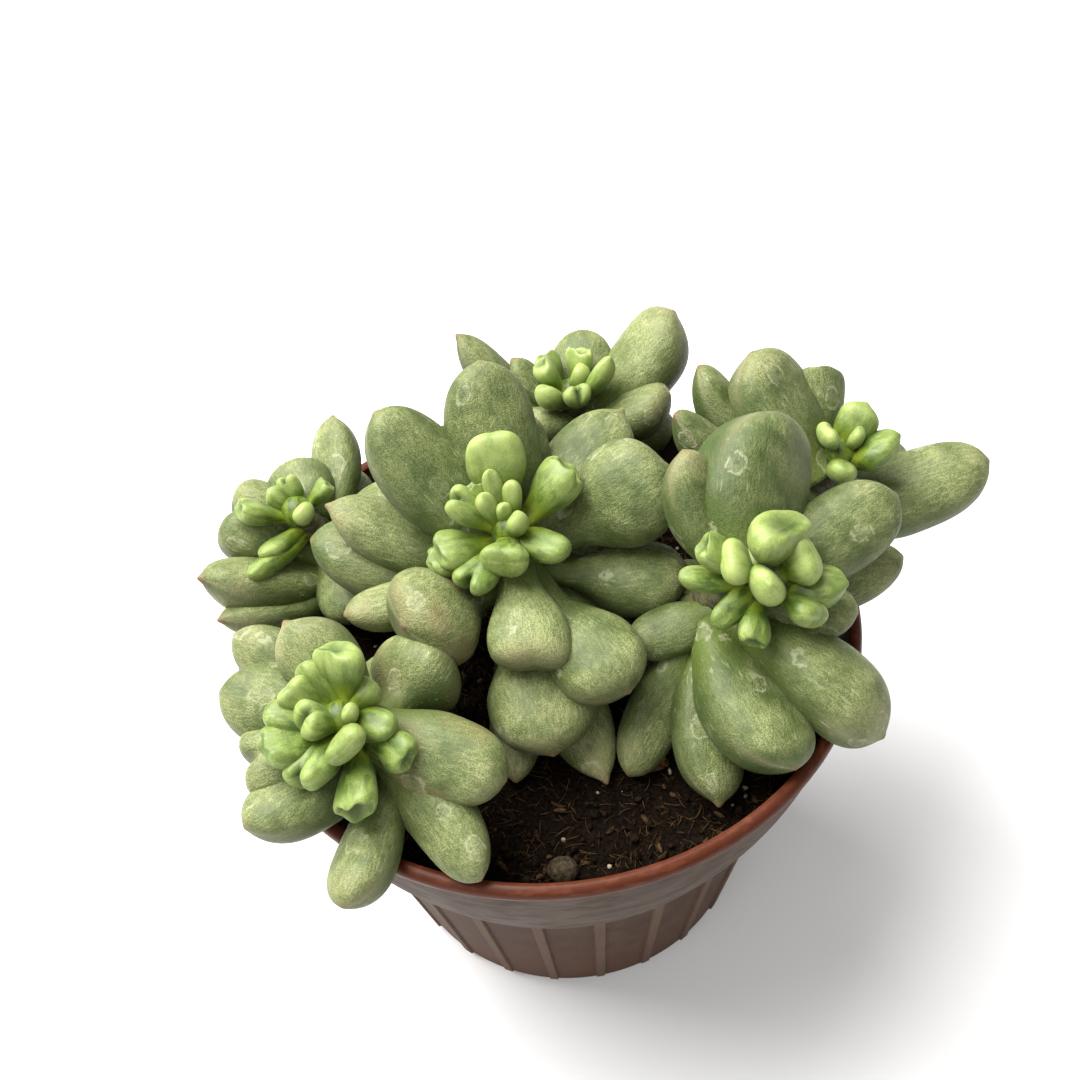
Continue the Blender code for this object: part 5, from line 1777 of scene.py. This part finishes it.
@dataclass(frozen=True)
class FreshLeaf:
    """Young leaves: bright milky green, deep and clear in their necks, with deep green painted shade in
    their creases and a painted highlight along their margins.
    """

    skin: Colour = (0.072, 0.132, 0.004)
    milk: Colour = (0.320, 0.400, 0.115)
    # Deep green: the leaves' own colour in veins and necks, and painted shade in hollows and creases
    deep: Colour = (0.022, 0.056, 0.001)
    neck: Colour = (0.260, 0.310, 0.014)
    dot: float = 0.26 * MM
    streak: float = 0.8 * MM
    vein: float = 1.4 * MM
    patch: float = 2.6 * MM

    def make(self) -> bpy.types.Material:
        """The material."""
        tree = ShaderTree("fresh_leaf")
        at = tree.stored("leaf_at", "Vector")
        along = tree.stored("along")
        tone = tree.stored("tone")
        hollow = tree.stored("hollow")
        inner = tree.stored("inner")
        dots = tree.smooth(tree.noise(at, self.dot, 1.0), 0.46, 0.60)
        patches = tree.smooth(tree.noise(at, self.patch, 3.0), 0.35, 0.65)
        milky = tree.smooth(along, 0.35, 0.9) * (0.15 + 0.30 * patches + 0.25 * tone + 0.40 * inner)
        # The stored edge adds a painted highlight along the margins
        milky = milky + 0.20 * dots * tree.smooth(along, 0.2, 0.7) + 0.5 * tree.stored("edge")
        low = 1 - tree.smooth(along, 0.1, 0.6)
        veins = tree.smooth(tree.noise(tree.stretch(at, 1.0, 0.4, 1.0), self.vein, 3.0), 0.44, 0.62)
        clear = veins * (1 - 0.75 * tree.smooth(along, 0.6, 0.95)) * (1.0 - 0.3 * tone - 0.6 * inner)
        streaks = tree.smooth(tree.noise(tree.stretch(at, 1.0, 0.15, 1.0), self.streak), 0.56, 0.70)
        pale = streaks * tree.smooth(along, 0.45, 0.85) * (1 - 0.7 * hollow)
        colour = tree.layers(
            self.skin,
            (milky, self.milk),
            (0.75 * low, self.neck),
            (0.80 * clear + 0.2 * low * (1 - patches), self.deep),
            # Painted shade: hollows and creases darkened to deep green
            (0.9 * hollow, self.deep),
            (0.40 * pale, self.milk),
        )
        relief = 0.3 * dots + 1.2 * tree.noise(at, 1.8 * MM) + 0.5 * streaks
        constants = {
            "Subsurface Weight": 0.14,
            "Subsurface Radius": (0.6, 1.0, 0.2),
            "Subsurface Scale": 1.6 * MM,
            "Sheen Weight": 0.08,
            "Sheen Roughness": 0.4,
            "Specular IOR Level": 0.45,
        }
        rough = 0.40 + 0.12 * patches + 0.08 * dots
        return tree.finish(constants, {"Base Color": colour, "Roughness": rough}, (relief, 0.07 * MM, 0.5))


@dataclass(frozen=True)
class PotPlastic:
    """Weathered brown plastic: a terracotta rim, a dusty streaked collar and pale worn ribs."""

    body: Colour = (0.052, 0.025, 0.015)
    worn: Colour = (0.118, 0.074, 0.051)
    collar: Colour = (0.086, 0.063, 0.049)
    dirt: Colour = (0.032, 0.018, 0.012)
    foot: Colour = (0.120, 0.058, 0.034)
    rim: Colour = (0.078, 0.019, 0.008)
    rim_light: Colour = (0.155, 0.046, 0.021)
    foot_heights: Pair = (2.0 * MM, 26.0 * MM)
    collar_heights: Pair = (42.5 * MM, 44.5 * MM)
    rim_heights: Pair = (75.3 * MM, 75.9 * MM)

    def make(self) -> bpy.types.Material:
        """The material."""
        tree = ShaderTree("pot_plastic_finish")
        at = tree.here()
        height = tree.level(at)
        bands = tree.noise(tree.stretch(at, 1, 1, 3), 9.0 * MM, 4.0, 0.6)
        streaks = tree.smooth(tree.noise(tree.stretch(at, 1, 1, 5), 3.0 * MM, 4.0), 0.48, 0.66)
        blotch = tree.smooth(tree.noise(at, 6.0 * MM, 4.0), 0.36, 0.64)
        specks = 1 - tree.smooth(tree.cells(at, 2.2 * MM), 0.08, 0.16)
        near_rim = tree.smooth(height + 1.0 * MM * (bands - 0.5), *self.rim_heights)
        body = tree.layers(
            self.body,
            (0.45 * blotch, self.worn),
            (0.5 - 0.5 * tree.smooth(height, *self.foot_heights), self.foot),
            (tree.stored("rib") * (0.55 + 0.35 * blotch), self.worn),
        )
        collar = tree.layers(
            self.collar,
            (0.5 * tree.smooth(bands, 0.42, 0.62), self.dirt),
            (0.35 * streaks, self.worn),
        )
        colour = tree.layers(
            body,
            (tree.smooth(height, *self.collar_heights), collar),
            (0.5 * specks * tree.smooth(tree.noise(at, 4.0 * MM), 0.45, 0.6), self.dirt),
            (near_rim, tree.mix(0.4 * streaks, self.rim, self.rim_light)),
        )
        relief = 0.4 * bands + 0.4 * specks + 0.35 * tree.noise(at, 0.7 * MM)
        rough = 0.62 - 0.27 * near_rim + 0.12 * blotch
        constants = {"Specular IOR Level": 0.16}
        return tree.finish(constants, {"Base Color": colour, "Roughness": rough}, (relief, 0.12 * MM, 0.6))


@dataclass(frozen=True)
class Crumbly:
    """Peat, fibres, grains or stone: a dark and a light colour, mottled, with a rough surface."""

    name: str
    dark: Colour
    light: Colour
    grain: float
    share: float = 0.5
    depth: float = 0.3 * MM

    def make(self) -> bpy.types.Material:
        """The material."""
        tree = ShaderTree(self.name)
        at = tree.here()
        fine = tree.noise(at, self.grain, 4.0, 0.65)
        mottled = tree.smooth(fine, 0.35, 0.68)
        share = self.share * mottled + (1.0 - self.share) * tree.stored("tone")
        colour = tree.mix(share, self.dark, self.light)
        relief = fine + 0.5 * tree.cells(at, 0.7 * self.grain)
        rough = 0.82 + 0.14 * mottled
        constants = {"Specular IOR Level": 0.06}
        return tree.finish(constants, {"Base Color": colour, "Roughness": rough}, (relief, self.depth, 0.9))


# Peat darker than its own colour, to stand in for the shade under the leaves: dark peat with painted shade
PEAT = Crumbly(
    name="peat_with_painted_shade",
    dark=(0.0008, 0.0006, 0.0004),
    light=(0.012, 0.0065, 0.003),
    grain=0.7 * MM,
    share=1.0,
)
# Crumbs darkened the same way: dark peat with painted shade
CRUMB = Crumbly(
    name="peat_crumb",
    dark=(0.002, 0.0014, 0.001),
    light=(0.026, 0.015, 0.008),
    grain=0.8 * MM,
)
FIBRE = Crumbly(
    name="peat_fibre",
    dark=(0.006, 0.003, 0.0015),
    light=(0.095, 0.054, 0.025),
    grain=0.6 * MM,
    depth=0.1 * MM,
)
GRAIN = Crumbly(
    name="pale_grain",
    dark=(0.160, 0.130, 0.090),
    light=(0.430, 0.380, 0.290),
    grain=0.5 * MM,
    depth=0.1 * MM,
)
STONE = Crumbly(
    name="worn_stone",
    dark=(0.026, 0.019, 0.011),
    light=(0.088, 0.066, 0.042),
    grain=0.9 * MM,
    share=1.0,
    depth=0.15 * MM,
)
DRY_LEAF = Crumbly(
    name="dry_leaf_skin",
    dark=(0.090, 0.040, 0.015),
    light=(0.340, 0.190, 0.075),
    grain=1.1 * MM,
    share=1.0,
    depth=0.15 * MM,
)


@dataclass(frozen=True)
class PaleFloor:
    """The plain pale floor, which glows a little."""

    colour: Colour = (0.76, 0.76, 0.77)
    shade: Colour = (0.74, 0.74, 0.755)
    glow: float = 0.13

    def make(self) -> bpy.types.Material:
        """The material."""
        tree = ShaderTree("pale_floor")
        cloud = tree.noise(tree.here(), 60.0 * MM, 3.0)
        colour = tree.mix(cloud, self.colour, self.shade)
        constants = {
            "Specular IOR Level": 0.2,
            "Emission Color": (1.0, 1.0, 1.0, 1.0),
            "Emission Strength": self.glow,
        }
        return tree.finish(constants, {"Base Color": colour, "Roughness": 0.75 + 0.1 * cloud})


@dataclass(frozen=True)
class Lamp:
    """A square soft light: where it hangs, its side in metres, its power in watts and its colour."""

    name: str
    place: Place
    size: float
    power: float
    tint: Colour

    def hang(self, target: Place) -> None:
        """Put the light in the scene.

        Args:
            target: The point that it is aimed at.
        """
        light = bpy.data.lights.new(self.name, "AREA")
        light.size = self.size
        light.energy = self.power
        light.color = self.tint
        lamp = put_in_scene(self.name, light)
        lamp.location = self.place
        aim = Vector(target) - lamp.location
        lamp.rotation_euler = aim.to_track_quat("-Z", "Y").to_euler()


@dataclass(frozen=True)
class Studio:
    """The pale floor, the soft light and the camera at the photograph's angle."""

    lamps: tuple[Lamp, ...] = (
        Lamp("window", (-0.30, 0.20, 0.70), size=0.7, power=18.5, tint=(1.0, 0.985, 0.95)),
        Lamp("front_fill", (-0.25, -0.6, 0.7), size=0.6, power=1.5, tint=(1.0, 0.985, 0.96)),
    )
    target: Place = (0.0, 0.0, 0.07)
    sky: Colour = (1.0, 1.0, 0.985)
    sky_strength: float = 0.42
    floor_half: float = 1.6
    floor_steps: int = 24
    lens: float = 50.0
    film: float = 36.0
    nearest: float = 0.01
    camera_place: Place = (0.00041, -0.18357, 0.3025)
    camera_right: Place = (0.99377, -0.08267, -0.07479)
    camera_up: Place = (0.11148, 0.73693, 0.66671)
    camera_back: Place = (0.0, -0.67089, 0.74156)

    def build(self) -> None:
        """Set up the floor, the lights, the world and the camera."""
        self._floor()
        for lamp in self.lamps:
            lamp.hang(self.target)
        self._world()
        self._camera()
        bpy.context.scene.view_settings.view_transform = "Standard"

    def _floor(self) -> None:
        """The floor: a flat sheet far wider than the pot."""
        bm = bmesh.new()
        steps = self.floor_steps
        bmesh.ops.create_grid(bm, x_segments=steps, y_segments=steps, size=self.floor_half)
        floor = put_in_scene("floor", mesh_of(bm, "floor"))
        floor.data.materials.append(PaleFloor().make())

    def _world(self) -> None:
        """Even light from all round."""
        world = bpy.data.worlds.new("soft_room")
        world.use_nodes = True
        background = world.node_tree.nodes["Background"]
        background.inputs["Color"].default_value = (*self.sky, 1.0)
        background.inputs["Strength"].default_value = self.sky_strength
        bpy.context.scene.world = world

    def _camera(self) -> None:
        """The camera, at the photograph's angle."""
        data = bpy.data.cameras.new("camera")
        data.lens = self.lens
        data.sensor_width = self.film
        data.clip_start = self.nearest
        camera = put_in_scene("camera", data)
        columns = (self.camera_right, self.camera_up, self.camera_back, self.camera_place)
        camera.matrix_world = Matrix([*zip(*columns), (0, 0, 0, 1)])
        bpy.context.scene.camera = camera


def main() -> None:
    """Build the pot, the soil, what lies on it, the plants and the studio, and report each piece."""
    logging.basicConfig(level=logging.INFO, format="%(message)s")
    pieces = [Pot().build(), *Earth().build(), *LooseThings().build(), *Plants().build()]
    Studio().build()
    for piece in pieces:
        count = sum(len(face.vertices) - 2 for face in piece.data.polygons)
        LOG.info("%s: %d triangles", piece.name, count)


if __name__ == "__main__":
    main()
